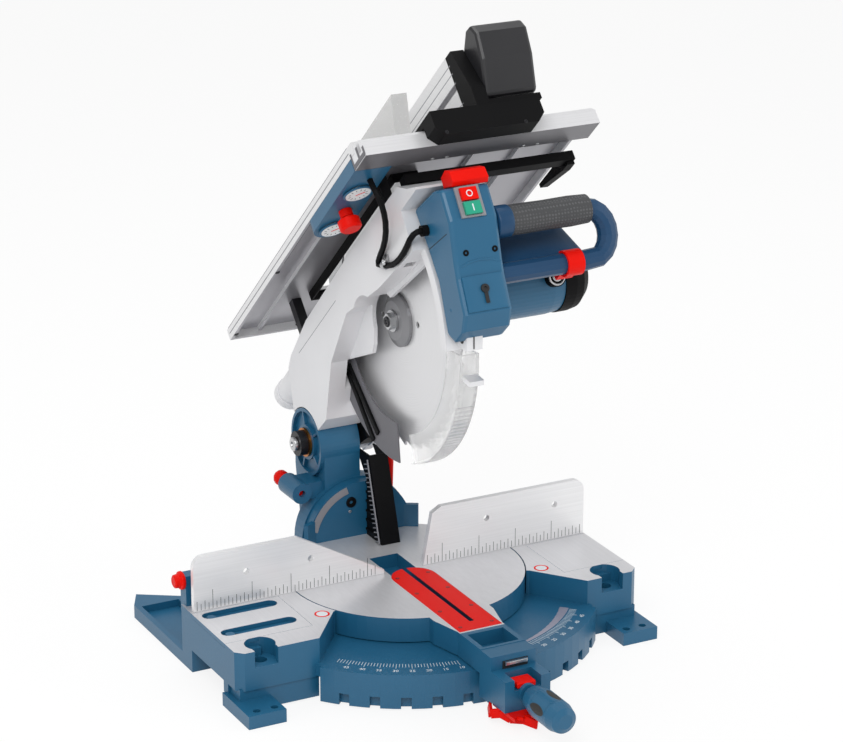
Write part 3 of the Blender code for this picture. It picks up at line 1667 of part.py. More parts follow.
def arm_casting():
    """The silver upper guard and swing arm, open above and below round the blade."""
    arm = slab(
        "arm_casting",
        blade_axis,
        "X",
        side(shares_of(ARM_SHARES, ARM_LENGTH)),
        -ARM_OUTER_X,
        ARM_MIDDLE_X,
    )
    core = slab("arm_core", blade_axis, "X", side(shares_of(CORE_SHARES, ARM_LENGTH)), -SKIRT_X, ARM_RIGHT_X)
    plate = slab(
        "pivot_plate",
        blade_axis,
        "X",
        side(shares_of(LUG_SHARES, ARM_LENGTH)),
        DUCT_RIGHT + GAP * 2,
        ARM_OUTER_X,
    )
    bridge = slab(
        "pivot_bridge",
        blade_axis,
        "X",
        side(shares_of(BRIDGE_SHARES, ARM_LENGTH)),
        0,
        ARM_OUTER_X - BITE,
    )
    rear = rod("chamber_rear", blade_axis, "X", (0, 0, 0), CHAMBER_REAR, -CHAMBER_LEFT, CHAMBER_RIGHT, 72)
    front_half = box(
        "rear_limit",
        blade_axis,
        (-ARM_OUTER_X, -CHAMBER_REAR - OVERRUN, -CHAMBER_REAR - OVERRUN),
        (ARM_OUTER_X, 0, CHAMBER_REAR + OVERRUN),
    )
    cut(rear, front_half)
    front = rod(
        "chamber_front",
        blade_axis,
        "X",
        (0, 0, 0),
        CHAMBER_RADIUS,
        -CHAMBER_LEFT,
        CHAMBER_RIGHT,
        72,
    )
    join(arm, core, plate, bridge)
    cut(arm, rear, front)
    notch = rod(
        "arbor_notch",
        blade_axis,
        "X",
        (0, 0, 0),
        ARBOR_NOTCH,
        -ARM_OUTER_X - OVERRUN,
        -CHAMBER_LEFT + OVERRUN,
        40,
    )
    below = slab(
        "left_opening",
        blade_axis,
        "X",
        side([(u * ARM_LENGTH, v * ARM_LENGTH) for u, v in SKIRT_SHARES[3:]])
        + side(
            [
                (-CHAMBER_REAR, -CHAMBER_REAR),
                (CHAMBER_REAR, -CHAMBER_REAR),
                (CHAMBER_REAR, SKIRT_SHARES[3][1] * ARM_LENGTH),
            ]
        ),
        -SKIRT_X - OVERRUN,
        -CHAMBER_LEFT + OVERRUN,
    )
    cut(arm, notch, below)
    rim = slab(
        "guard_rim",
        blade_axis,
        "X",
        side(sector(SKIRT_RADIUS, SKIRT_INNER, 4, -37, 14)),
        -ARM_RIGHT_X,
        CHAMBER_RIGHT + BITE,
    )
    join(arm, rim)
    swing = rod(
        "barrel_clearance",
        blade_axis,
        "X",
        (0, HEAD_REACH, -HEAD_RISE),
        PIVOT_CLEAR,
        -ARM_OUTER_X - OVERRUN,
        DUCT_RIGHT,
        56,
    )
    bore = rod(
        "arbor_bore",
        blade_axis,
        "X",
        (0, 0, 0),
        ARBOR_RADIUS + RUN_GAP,
        0,
        ARM_RIGHT_X + OVERRUN,
        32,
    )
    knife_slot = slab(
        "knife_slot", blade_axis, "X", side(
            knife_outline(RUN_GAP / 2)
        ), -KNIFE_THICK / 2 - GAP, KNIFE_THICK / 2 + GAP
    )
    cut(arm, swing, bore, knife_slot)
    boss = rod(
        "pivot_boss",
        blade_axis,
        "X",
        (0, HEAD_REACH, -HEAD_RISE),
        LUG_BOSS,
        BARREL_RIGHT + GAP,
        ARM_OUTER_X,
        36,
    )
    hole = rod(
        "pivot_hole", blade_axis, "X", (
            0,
            HEAD_REACH,
            -HEAD_RISE,
        ), PIVOT_SHAFT + GAP, 0, ARM_OUTER_X + OVERRUN, 36
    )
    join(arm, boss)
    cut(arm, hole)
    for s, x, low in (
        (POST_REAR_S, -POST_REAR_X, POST_REAR_LOW),
        (POST_FRONT_S, -POST_FRONT_X, POST_FRONT_LOW),
    ):
        half = POST_SIZE / 2 + GAP
        guide = box("post_guide", blade_axis, (x - half, -s - half, low), (x + half, -s + half, UPPER_TOP))
        cut(arm, guide)
    keep(arm, silver_paint)


def knife_outline(grow):
    """The riving knife: it follows the blade behind and carries the crown guard."""
    inner = arc((0, 0), BLADE_RADIUS + KNIFE_CLEAR - grow, 118, KNIFE_FOOT_DEG, 10)
    outer = [(u * BLADE_RADIUS, v * BLADE_RADIUS) for u, v in KNIFE_SHARES]
    if grow:
        inner[-1] = (inner[-1][0], inner[-1][1] - grow * 2)
        outer[0] = (outer[0][0], outer[0][1] - grow * 2)
    return inner + [(u - grow, v) for u, v in outer[:3]] + [(u, v + grow) for u, v in outer[3:]]


def head_frame_parts():
    """Pivot shaft, dust nozzle, upper duct, fixed inner guard, riving knife and blade frame."""
    pivot = (0, HEAD_REACH, -HEAD_RISE)
    left = -BARREL_LEFT - GAP - BUSH_LENGTH - GAP
    shaft = rod("pivot_shaft", blade_axis, "X", pivot, PIVOT_SHAFT, left - BITE, ARM_OUTER_X, 36)
    head = rod("pivot_head", blade_axis, "X", pivot, PIVOT_HEAD, left - PIVOT_HEAD_LENGTH, left, 36)
    bolt = rod(
        "pivot_bolt",
        blade_axis,
        "X",
        pivot,
        PIVOT_BOLT,
        left - PIVOT_HEAD_LENGTH - PIVOT_BOLT_LENGTH,
        left - BITE,
        6,
    )
    join(shaft, head, bolt)
    keep(shaft, steel)
    reach = NOZZLE_END - NOZZLE_START
    nozzle = turned(
        "dust_nozzle",
        blade_axis,
        "Y",
        (-NOZZLE_X, NOZZLE_START, NOZZLE_HEIGHT),
        [
            (NOZZLE_RADIUS, reach),
            (NOZZLE_RADIUS, reach - NOZZLE_LIP),
            (NOZZLE_RADIUS - NOZZLE_STEP, reach - NOZZLE_LIP),
            (NOZZLE_RADIUS, 0),
            (NOZZLE_BORE, 0),
            (NOZZLE_BORE, reach),
        ],
        40,
    )
    rest = slab(
        "nozzle_trim",
        blade_axis,
        "X",
        side(shares_of(ARM_SHARES, ARM_LENGTH)),
        -ARM_OUTER_X - GAP,
        ARM_MIDDLE_X + GAP,
    )
    for point in rest.data.vertices:
        point.co.y += GAP
        point.co.z += GAP / 2
    cut(nozzle, rest)
    keep(nozzle, silver_paint)
    s0, h0 = UPPER_DUCT_LOW
    s1, h1 = UPPER_DUCT_HIGH
    length = sqrt((s1 - s0) ** 2 + (h1 - h0) ** 2)
    across = ((h1 - h0) / length * UPPER_DUCT_HALF, -(s1 - s0) / length * UPPER_DUCT_HALF)
    outline = [
        (s0 + across[0], h0 + across[1]),
        (s1 + across[0], h1 + across[1]),
        (s1 - across[0], h1 - across[1]),
        (s0 - across[0], h0 - across[1]),
    ]
    duct = slab(
        "upper_duct",
        blade_axis,
        "X",
        side(outline),
        DUCT_LEFT + DUCT_WALL + RUN_GAP,
        DUCT_RIGHT - DUCT_WALL - RUN_GAP,
    )
    keep(duct, black_plastic)
    inner = slab(
        "inner_guard",
        blade_axis,
        "X",
        side(sector(CHAMBER_REAR - RUN_GAP, INNER_GUARD_RADIUS, 165, 235, 16)),
        -CHAMBER_LEFT + GAP,
        -GUARD_HALF - GAP * 3,
    )
    keep(inner, black_plastic)
    knife = slab("riving_knife", blade_axis, "X", side(knife_outline(0)), -KNIFE_THICK / 2, KNIFE_THICK / 2)
    pin_place = (0, -KNIFE_PIN_SHARES[0] * BLADE_RADIUS, KNIFE_PIN_SHARES[1] * BLADE_RADIUS)
    pin = rod("knife_pin", blade_axis, "X", pin_place, KNIFE_PIN, -CROWN_HALF - BITE, CROWN_HALF + BITE, 16)
    join(knife, pin)
    keep(knife, steel)
    frame = slab(
        "blade_frame",
        blade_axis,
        "Z",
        rectangle(-FRAME_HALF, -FRAME_FRONT, FRAME_HALF, FRAME_BACK),
        ARM_SHARES[4][1] * ARM_LENGTH + GAP,
        FRAME_TOP,
        [
            rectangle(
                -FRAME_HALF + FRAME_WALL,
                -FRAME_FRONT + FRAME_WALL,
                FRAME_HALF - FRAME_WALL,
                FRAME_BACK - FRAME_WALL,
            )
        ],
    )
    cross = box(
        "frame_cross",
        blade_axis,
        (-FRAME_HALF - FRAME_WALL * 2, -FRAME_FRONT - FRAME_WALL * 2, ARM_SHARES[4][1] * ARM_LENGTH + GAP),
        (FRAME_REACH, -FRAME_FRONT + FRAME_WALL, FRAME_TOP),
    )
    hook = slab(
        "frame_hook",
        blade_axis,
        "X",
        [
            (-FRAME_FRONT - FRAME_WALL, FRAME_TOP),
            (-FRAME_FRONT + FRAME_HOOK, FRAME_TOP),
            (-FRAME_FRONT + FRAME_HOOK, FRAME_TOP - FRAME_WALL),
            (-FRAME_FRONT + FRAME_WALL * 2, FRAME_TOP - FRAME_WALL * 3),
            (-FRAME_FRONT - FRAME_WALL, FRAME_TOP - FRAME_WALL * 3),
        ],
        FRAME_REACH - FRAME_WALL * 2,
        FRAME_REACH,
    )
    join(frame, cross, hook)
    keep(frame, black_plastic)


def blade_outline():
    """Teeth with a steep face and a long back, worked out round the rim."""
    points = []
    pitch = 360 / BLADE_TEETH
    for i in range(BLADE_TEETH):
        start = i * pitch
        for radius, share in (
            (BLADE_RADIUS - TOOTH_DEPTH, 0.0),
            (BLADE_RADIUS, 0.12),
            (BLADE_RADIUS - TOOTH_DEPTH * 0.45, 0.42),
            (BLADE_RADIUS - TOOTH_DEPTH, 0.80),
        ):
            angle = radians(start + pitch * share)
            points.append((radius * cos(angle), radius * sin(angle)))
    return points


def spindle():
    """Arbor with its inner flange, the blade, the clamping flange and the bolt."""
    half = BLADE_THICKNESS / 2
    arbor = rod("arbor", blade_axis, "X", (0, 0, 0), ARBOR_RADIUS, -half, ARM_RIGHT_X - GAP, 32)
    flange = rod(
        "inner_flange",
        blade_axis,
        "X",
        (0, 0, 0),
        FLANGE_OUTER,
        half + GAP,
        half + FLANGE_THICK,
        40,
    )
    join(arbor, flange)
    keep(arbor, steel)
    bore = circle((0, 0), BORE_RADIUS, 32)
    holes = [
        circle((BLADE_HOLE_RING * cos(a), BLADE_HOLE_RING * sin(a)), BLADE_HOLE, 12)
        for a in (0.6, 0.6 + pi)
    ]
    blade = slab("blade", blade_axis, "X", blade_outline(), -half, half, [bore, *holes])
    keep(blade, steel)
    outer = turned(
        "outer_flange",
        blade_axis,
        "X",
        (-half - GAP - FLANGE_STACK, 0, 0),
        [
            (0, FLANGE_STACK),
            (FLANGE_OUTER, FLANGE_STACK),
            (FLANGE_OUTER, FLANGE_STACK - FLANGE_RIM),
            (FLANGE_OUTER * 0.72, 0),
            (0, 0),
        ],
        40,
    )
    keep(outer, steel)
    start = -half - GAP * 2 - FLANGE_STACK
    bolt = rod(
        "blade_bolt",
        blade_axis,
        "X",
        (0, 0, 0),
        BOLT_RADIUS,
        start - BOLT_LENGTH,
        start - BOLT_WASHER + BITE / 2,
        6,
    )
    washer = rod(
        "bolt_washer",
        blade_axis,
        "X",
        (0, 0, 0),
        BOLT_RADIUS * 1.3,
        start - BOLT_WASHER,
        start,
        28,
    )
    join(bolt, washer)
    keep(bolt, steel)


def lower_guard():
    """The clear guard: a channel round the rim, with a plate to its hub on the motor side."""
    start = GUARD_START_DEG
    end = GUARD_END_DEG
    guard = slab(
        "lower_guard", blade_axis, "X", side(
            sector(GUARD_OUTER, GUARD_FLANGE_INNER, start, end, 22)
        ), -GUARD_HALF, GUARD_HALF
    )
    channel = slab(
        "guard_channel",
        blade_axis,
        "X",
        side(sector(GUARD_OUTER - GUARD_WALL, GUARD_FLANGE_INNER - OVERRUN, start + 4, end - 4, 24)),
        -GUARD_HALF + GUARD_WALL,
        GUARD_HALF - GUARD_WALL,
    )
    cut(guard, channel)
    ring = GUARD_FLANGE_INNER + GUARD_WALL
    spoke_points = arc((0, 0), ring, start - GUARD_SPOKE_DEG, end + GUARD_SPOKE_DEG, 8)
    spoke_points += arc(
        (0, 0),
        GUARD_HUB_BORE + GUARD_WALL,
        end + GUARD_SPOKE_DEG,
        start - GUARD_SPOKE_DEG,
        6,
    )
    spoke = slab(
        "guard_spoke", blade_axis, "X", side(
            spoke_points
        ), GUARD_HALF - GUARD_WALL * 0.9, GUARD_HALF - GUARD_WALL * 0.1
    )
    hub = slab(
        "guard_hub",
        blade_axis,
        "X",
        circle((0, 0), GUARD_HUB, 36),
        GUARD_HALF - GUARD_WALL,
        CHAMBER_RIGHT - GAP,
        [circle((0, 0), GUARD_HUB_BORE, 32)],
    )
    join(guard, spoke, hub)
    keep(guard, clear_plastic)
    lug = box(
        "guard_lug",
        blade_axis,
        (-GUARD_LUG / 2, GUARD_OUTER + GAP, -GUARD_LUG_THICK),
        (GUARD_LUG / 2, GUARD_OUTER + GAP + GUARD_LUG, 0),
    )
    lug.data.transform(Matrix.Rotation(pi - radians(start - GUARD_LUG_BACK_DEG), 4, "X"))
    keep(lug, aluminium)


def housing_outline():
    """The blue front housing in side view."""
    return side([(u * HOUSING_LENGTH, v * HOUSING_LENGTH) for u, v in HOUSING_SHARES])


def front_housing():
    """Housing, switch frame and buttons, top lever, gland."""
    housing = slab("front_housing", blade_axis, "X", housing_outline(), -HOUSING_HALF, HOUSING_HALF)
    keep(housing, blue_paint, HOUSING_ROUND, 2)
    top_s, top_h = [v * HOUSING_LENGTH for v in HOUSING_SHARES[2]]
    low_s, low_h = [v * HOUSING_LENGTH for v in HOUSING_SHARES[3]]
    tilt = atan2(top_s - low_s, top_h - low_h)
    panel = empty("switch_panel", blade_axis, (0, -(top_s + low_s) / 2, (top_h + low_h) / 2))
    panel.rotation_euler = (tilt, 0, 0)
    half_w = SWITCH_WIDTH / 2
    half_h = SWITCH_HEIGHT / 2
    frame = box("switch_frame", panel, (-half_w, -GAP - SWITCH_PROUD, -half_h), (half_w, -GAP, half_h))
    keep(frame, silver_paint)
    centre = BUTTON_HEIGHT / 2 + RUN_GAP
    for name, place, look in (("button_off", centre, red_plastic), ("button_on", -centre, green_plastic)):
        window = box(
            "button_window",
            panel,
            (-BUTTON_WIDTH / 2 - GAP, -SWITCH_PROUD - OVERRUN, place - BUTTON_HEIGHT / 2 - GAP),
            (BUTTON_WIDTH / 2 + GAP, -GAP + OVERRUN, place + BUTTON_HEIGHT / 2 + GAP),
        )
        cut(frame, window)
        well = box(
            "button_well",
            panel,
            (-BUTTON_WIDTH / 2 - GAP, -OVERRUN, place - BUTTON_HEIGHT / 2 - GAP),
            (BUTTON_WIDTH / 2 + GAP, BUTTON_DEEP, place + BUTTON_HEIGHT / 2 + GAP),
        )
        cut(housing, well)
        button_axis = empty(name + "_axis", panel, (0, 0, place))
        button = box(
            name,
            button_axis,
            (-BUTTON_WIDTH / 2, -SWITCH_PROUD - BUTTON_PROUD, -BUTTON_HEIGHT / 2),
            (BUTTON_WIDTH / 2, BUTTON_DEEP - BUTTON_STROKE - GAP, BUTTON_HEIGHT / 2),
        )
        keep(button, look)
    lever = slab(
        "top_lever",
        blade_axis,
        "X",
        side([(u * HOUSING_LENGTH, v * HOUSING_LENGTH) for u, v in TOP_LEVER_SHARES]),
        TOP_LEVER_X - TOP_LEVER_LENGTH / 2,
        TOP_LEVER_X + TOP_LEVER_LENGTH / 2,
    )
    keep(lever, red_plastic, RUN_GAP, 2)
    gland = rod(
        "cable_gland", blade_axis, "X", (
            0,
            -GLAND_S,
            GLAND_H,
        ), CABLE_RADIUS * 1.8, -HOUSING_HALF - GLAND_LENGTH, -HOUSING_HALF - GAP, 20
    )
    passage = rod(
        "gland_bore",
        blade_axis,
        "X",
        (0, -GLAND_S, GLAND_H),
        CABLE_RADIUS + GAP,
        -HOUSING_HALF - GLAND_LENGTH - OVERRUN,
        -HOUSING_HALF - GLAND_LENGTH + GLAND_BORE,
        20,
    )
    cut(gland, passage)
    keep(gland, black_plastic)


def grip_points():
    """The D-shaped handle's centre line: out along the grip, round the end, back below."""
    x_start = HOUSING_HALF + GAP
    upper = [(x_start, -GRIP_S, GRIP_H), (GRIP_X1, -GRIP_S, GRIP_H)]
    bend = [
        (
            GRIP_X1 + (HANDLE_TIP_X - GRIP_X1) * sin(radians(a)) * 0.9,
            -GRIP_S + HANDLE_DROP_S * (1 - cos(radians(a))) / 2,
            GRIP_H - HANDLE_DROP_H * (1 - cos(radians(a))) / 2,
        )
        for a in range(20, 180, 20)
    ]
    lower = [
        (GRIP_X1 - LOWER_BAR, -GRIP_S + HANDLE_DROP_S, GRIP_H - HANDLE_DROP_H),
        (x_start, -GRIP_S + HANDLE_DROP_S, GRIP_H - HANDLE_DROP_H),
    ]
    return upper + bend + lower


def handle_and_motor():
    """D handle with its sleeve and trigger, gear case, motor and its cap and brush cap."""
    handle = tube("d_handle", blade_axis, grip_points(), LOWER_BAR, 4)
    keep(handle, blue_paint)
    sleeve = turned(
        "grip_sleeve",
        blade_axis,
        "X",
        (GRIP_X0, -GRIP_S, GRIP_H),
        [
            (GRIP_SLEEVE * 0.94, GRIP_X1 - GRIP_X0),
            (GRIP_SLEEVE, (GRIP_X1 - GRIP_X0) * 0.8),
            (GRIP_SLEEVE * 0.97, (GRIP_X1 - GRIP_X0) * 0.5),
            (GRIP_SLEEVE, (GRIP_X1 - GRIP_X0) * 0.2),
            (GRIP_SLEEVE * 0.94, 0),
            (LOWER_BAR + GAP, 0),
            (LOWER_BAR + GAP, GRIP_X1 - GRIP_X0),
        ],
        32,
    )
    keep(sleeve, dark_rubber)
    bar_low = GRIP_H - HANDLE_DROP_H
    trigger_axis = empty("trigger_axis", blade_axis, (0, -GRIP_S + HANDLE_DROP_S, bar_low))
    trigger = slab(
        "trigger",
        trigger_axis,
        "X",
        circle((0, 0), LOWER_BAR + TRIGGER_SKIN, 28),
        GRIP_X1 - TRIGGER_LENGTH * 1.3,
        GRIP_X1 - TRIGGER_LENGTH * 0.6,
        [circle((0, 0), LOWER_BAR + GAP, 28)],
    )
    blade_of = box(
        "trigger_blade",
        trigger_axis,
        (GRIP_X1 - TRIGGER_LENGTH * 1.3, LOWER_BAR, -TRIGGER_WIDTH / 2),
        (GRIP_X1 - TRIGGER_LENGTH * 0.6, LOWER_BAR + TRIGGER_REACH / 2, TRIGGER_WIDTH / 2),
    )
    join(trigger, blade_of)
    keep(trigger, red_plastic)
    centre = (MOTOR_S, MOTOR_H)
    gear = slab(
        "gear_case",
        blade_axis,
        "X",
        side(gear_outline()),
        ARM_RIGHT_X + GAP,
        GEAR_END,
    )
    keep(gear, blue_paint, RUN_GAP * 2, 2)
    motor = turned(
        "motor_housing",
        blade_axis,
        "X",
        (GEAR_END + GAP, -centre[0], centre[1]),
        [
            (0, MOTOR_JOINT - GEAR_END),
            (MOTOR_RADIUS * 0.97, MOTOR_JOINT - GEAR_END),
            (MOTOR_RADIUS, (MOTOR_JOINT - GEAR_END) * 0.85),
            (MOTOR_RADIUS, (MOTOR_JOINT - GEAR_END) * 0.1),
            (MOTOR_RADIUS * 1.04, 0),
            (0, 0),
        ],
        48,
    )
    keep(motor, blue_paint)
    cap_start = MOTOR_JOINT + GAP * 2
    cap = turned(
        "motor_cap",
        blade_axis,
        "X",
        (cap_start, -centre[0], centre[1]),
        [
            (0, MOTOR_END - cap_start),
            (MOTOR_RADIUS * 0.72, MOTOR_END - cap_start),
            (MOTOR_RADIUS * 0.95, (MOTOR_END - cap_start) * 0.7),
            (MOTOR_RADIUS, (MOTOR_END - cap_start) * 0.4),
            (MOTOR_RADIUS, 0),
            (0, 0),
        ],
        48,
    )
    keep(cap, black_plastic)
    brush_axis = empty("brush_axis", blade_axis, (BRUSH_X, -centre[0], centre[1]))
    brush_axis.rotation_euler = (radians(BRUSH_TILT_DEG), 0, 0)
    brush = rod(
        "brush_cap",
        brush_axis,
        "Y",
        (0, 0, 0),
        BRUSH_RADIUS,
        -MOTOR_RADIUS - BRUSH_PROUD,
        -MOTOR_RADIUS + BRUSH_SUNK,
        24,
    )
    keep(brush, black_plastic)
    seat = rod(
        "brush_seat",
        brush_axis,
        "Y",
        (0, 0, 0),
        BRUSH_RADIUS + GAP,
        -MOTOR_RADIUS - OVERRUN,
        -MOTOR_RADIUS + BRUSH_SUNK + GAP,
        24,
    )
    cut(motor, seat)
    cut(cap, seat)


def gear_outline():
    """A stadium from the arbor to the motor."""
    angle = atan2(MOTOR_H, MOTOR_S)
    turn_deg = angle * 180 / pi
    return arc((0, 0), FLANGE_OUTER, turn_deg + 100, turn_deg + 260, 14) + arc(
        (MOTOR_S, MOTOR_H),
        GEAR_RADIUS,
        turn_deg - 100,
        turn_deg + 100,
        20,
    )


def upper_table():
    """The thin second table with its skirt and ribs below, and the front rail with its T-slot."""
    slot = rectangle(-UPPER_SLOT_HALF, -UPPER_SLOT_FRONT, UPPER_SLOT_HALF, UPPER_SLOT_BACK)
    table = slab(
        "upper_table",
        blade_axis,
        "Z",
        rectangle(-UPPER_LEFT, -UPPER_FRONT, UPPER_RIGHT, UPPER_BACK),
        UPPER_TOP - UPPER_SKIRT,
        UPPER_TOP,
        [slot],
    )
    hollow = box(
        "table_hollow",
        blade_axis,
        (-UPPER_LEFT + UPPER_THICK, -UPPER_FRONT + UPPER_THICK, UPPER_TOP - UPPER_SKIRT - OVERRUN),
        (UPPER_RIGHT - UPPER_THICK, UPPER_BACK - UPPER_THICK, UPPER_TOP - UPPER_THICK),
    )
    cut(table, hollow)
    for x in TABLE_RIBS:
        rib = box(
            "table_rib",
            blade_axis,
            (x, -TABLE_RIB_FRONT, UPPER_TOP - TABLE_RIB_DEPTH),
            (x + UPPER_THICK, UPPER_BACK - UPPER_THICK + BITE, UPPER_TOP - UPPER_THICK + BITE),
        )
        join(table, rib)
    keep(table, aluminium)
    rail = slab(
        "front_rail",
        blade_axis,
        "X",
        [
            (-RAIL_BACK, UPPER_TOP - RAIL_DROP - RAIL_LIP),
            (-UPPER_FRONT - GAP, UPPER_TOP - RAIL_DROP),
            (-TSLOT_BACK, UPPER_TOP - RAIL_DROP),
            (-TSLOT_BACK, UPPER_TOP - RAIL_DROP - TSLOT_DEPTH),
            (-TSLOT_BACK - TSLOT_WIDTH, UPPER_TOP - RAIL_DROP - TSLOT_DEPTH),
            (-TSLOT_BACK - TSLOT_WIDTH, UPPER_TOP - RAIL_DROP),
            (-RAIL_FRONT, UPPER_TOP - RAIL_DROP - RAIL_LIP),
            (-RAIL_FRONT, UPPER_TOP - RAIL_DROP - RAIL_HEIGHT),
            (-RAIL_BACK, UPPER_TOP - RAIL_DROP - RAIL_HEIGHT),
        ],
        -UPPER_LEFT,
        UPPER_RIGHT,
    )
    bottom = box(
        "rail_seat",
        blade_axis,
        (-UPPER_LEFT - OVERRUN, -UPPER_FRONT - GAP, UPPER_TOP - UPPER_SKIRT - GAP),
        (UPPER_RIGHT + OVERRUN, -RAIL_BACK + OVERRUN, UPPER_TOP + OVERRUN),
    )
    cut(rail, bottom)
    keep(rail, aluminium)


def table_parts():
    """Height posts, slot shroud, dial box, dials and the locking knob."""
    for name, s, x, low in (
        ("height_post_rear", POST_REAR_S, -POST_REAR_X, POST_REAR_START),
        ("height_post_front", POST_FRONT_S, -POST_FRONT_X, POST_FRONT_START),
    ):
        half = POST_SIZE / 2
        post = box(
            name,
            blade_axis,
            (x - half, -s - half, low),
            (x + half, -s + half, UPPER_TOP - UPPER_THICK - GAP),
        )
        keep(post, steel)
    outer = UPPER_SLOT_HALF + SHROUD_WALL * 2
    shroud = slab(
        "slot_shroud",
        blade_axis,
        "Z",
        rectangle(-outer, -UPPER_SLOT_FRONT - SHROUD_WALL * 2, outer, UPPER_SLOT_BACK + SHROUD_WALL * 2),
        SHROUD_LOW,
        UPPER_TOP - UPPER_THICK - GAP,
        [
            rectangle(
                -outer + SHROUD_WALL,
                -UPPER_SLOT_FRONT - SHROUD_WALL,
                outer - SHROUD_WALL,
                UPPER_SLOT_BACK + SHROUD_WALL,
            )
        ],
    )
    keep(shroud, black_plastic)
    top = UPPER_TOP - UPPER_SKIRT - GAP
    low = top - DIAL_BOX_HEIGHT
    back_centre = (-UPPER_LEFT + DIAL_BOX_WIDTH / 2, -DIAL_BOX_BACK - DIAL_BOX_WIDTH / 2)
    outline = [(-UPPER_LEFT, -DIAL_BOX_FRONT), (-UPPER_LEFT + DIAL_BOX_WIDTH, -DIAL_BOX_FRONT)]
    outline += arc(back_centre, DIAL_BOX_WIDTH / 2, 0, 180, 14)
    dial_box = slab("dial_box", blade_axis, "Z", outline, low, top)
    keep(dial_box, blue_paint)
    for name, s in (("dial_near", DIAL_NEAR), ("dial_far", DIAL_FAR)):
        dial = rod(
            name,
            blade_axis,
            "Z",
            (back_centre[0], -s, 0),
            DIAL_RADIUS,
            low - GAP - DIAL_THICK,
            low - GAP,
            32,
        )
        keep(dial, dial_plastic)
    knob_axis = empty("knob_axis", blade_axis, (back_centre[0], -KNOB_S, low))
    knob = turned(
        "height_knob",
        knob_axis,
        "Z",
        (0, 0, -GAP - HEIGHT_KNOB_LENGTH),
        [
            (0, HEIGHT_KNOB_LENGTH),
            (HEIGHT_KNOB_RADIUS * 0.6, HEIGHT_KNOB_LENGTH),
            (HEIGHT_KNOB_RADIUS * 0.6, HEIGHT_KNOB_LENGTH * 0.65),
            (HEIGHT_KNOB_RADIUS, HEIGHT_KNOB_LENGTH * 0.5),
            (HEIGHT_KNOB_RADIUS, HEIGHT_KNOB_LENGTH * 0.1),
            (HEIGHT_KNOB_RADIUS * 0.8, 0),
            (0, 0),
        ],
        28,
    )
    keep(knob, red_plastic)


def rip_fence():
    """Extruded fence, its shoe on the rail, front bracket and clamp hood."""
    base = UPPER_TOP + GAP
    x0 = RIP_X
    x1 = RIP_X + RIP_WIDTH
    top = base + RIP_TALL
    groove = base + RIP_GROOVE_Z
    outline = [
        (x0, base),
        (x1, base),
        (x1, base + RIP_TALL * 0.45),
        (x0 + RIP_WIDTH * 0.35, top),
        (x0, top),
        (x0, groove + RIP_GROOVE),
        (x0 + RIP_GROOVE, groove + RIP_GROOVE),
        (x0 + RIP_GROOVE, groove),
        (x0, groove),
    ]
    wall = RIP_WALL
    chamber_low = [
        (x0 + RIP_GROOVE + wall, base + wall),
        (x1 - wall, base + wall),
        (x1 - wall, base + RIP_TALL * 0.43),
        (x0 + RIP_GROOVE + wall, base + RIP_TALL * 0.72),
    ]
    fence_body = slab("rip_fence", blade_axis, "Y", outline, -RIP_FRONT, RIP_BACK, [chamber_low])
    keep(fence_body, aluminium)
    shoe_top = UPPER_TOP
    shoe = slab(
        "fence_shoe",
        blade_axis,
        "Y",
        [
            (SHOE_LEFT, shoe_top - SHOE_TALL + SHOE_CHAMFER),
            (SHOE_LEFT + SHOE_CHAMFER, shoe_top - SHOE_TALL),
            (SHOE_RIGHT - SHOE_CHAMFER, shoe_top - SHOE_TALL),
            (SHOE_RIGHT, shoe_top - SHOE_TALL + SHOE_CHAMFER),
            (SHOE_RIGHT, shoe_top),
            (SHOE_LEFT, shoe_top),
        ],
        -RAIL_FRONT - GAP - SHOE_DEPTH,
        -RAIL_FRONT - GAP,
    )
    flange = box(
        "shoe_flange",
        blade_axis,
        (SHOE_LEFT, -RAIL_FRONT - GAP - BITE, UPPER_TOP - RAIL_DROP + GAP),
        (SHOE_RIGHT, -UPPER_FRONT - GAP, shoe_top),
    )
    key = box(
        "shoe_key",
        blade_axis,
        (SHOE_LEFT, -TSLOT_BACK - TSLOT_WIDTH + GAP * 2, UPPER_TOP - RAIL_DROP - TSLOT_DEPTH * 0.7),
        (SHOE_RIGHT, -TSLOT_BACK - GAP * 2, UPPER_TOP - RAIL_DROP + BITE),
    )
    join(shoe, flange, key)
    keep(shoe, black_plastic)
    bracket = slab(
        "fence_bracket",
        blade_axis,
        "X",
        [
            (-RIP_FRONT - GAP, shoe_top + GAP),
            (-RIP_FRONT - GAP, shoe_top + RIP_TALL),
            (-RIP_FRONT - BRACKET_DEPTH * 0.5, shoe_top + RIP_TALL),
            (-RIP_FRONT - BRACKET_DEPTH, shoe_top + RIP_TALL * 0.3),
            (-RIP_FRONT - BRACKET_DEPTH, shoe_top + GAP),
        ],
        x0,
        HOOD_X0 - GAP,
    )
    base_plate = box(
        "bracket_base",
        blade_axis,
        (x0 + BITE, -RIP_FRONT - BRACKET_DEPTH + BITE, shoe_top + GAP * 2),
        (HOOD_X1, -RIP_FRONT - GAP - BITE, shoe_top + BRACKET_BASE),
    )
    join(bracket, base_plate)
    keep(bracket, black_plastic)
    hood_axis = empty(
        "hood_axis",
        blade_axis,
        (0, -RIP_FRONT - BRACKET_DEPTH * 0.6, shoe_top + BRACKET_BASE + HOOD_RISE),
    )
    hood = slab(
        "fence_hood",
        hood_axis,
        "X",
        [(-u * HOOD_TALL, v * HOOD_TALL) for u, v in HOOD_SHARES],
        HOOD_X0,
        HOOD_X1,
    )
    keep(hood, black_plastic, HOUSING_ROUND, 2)


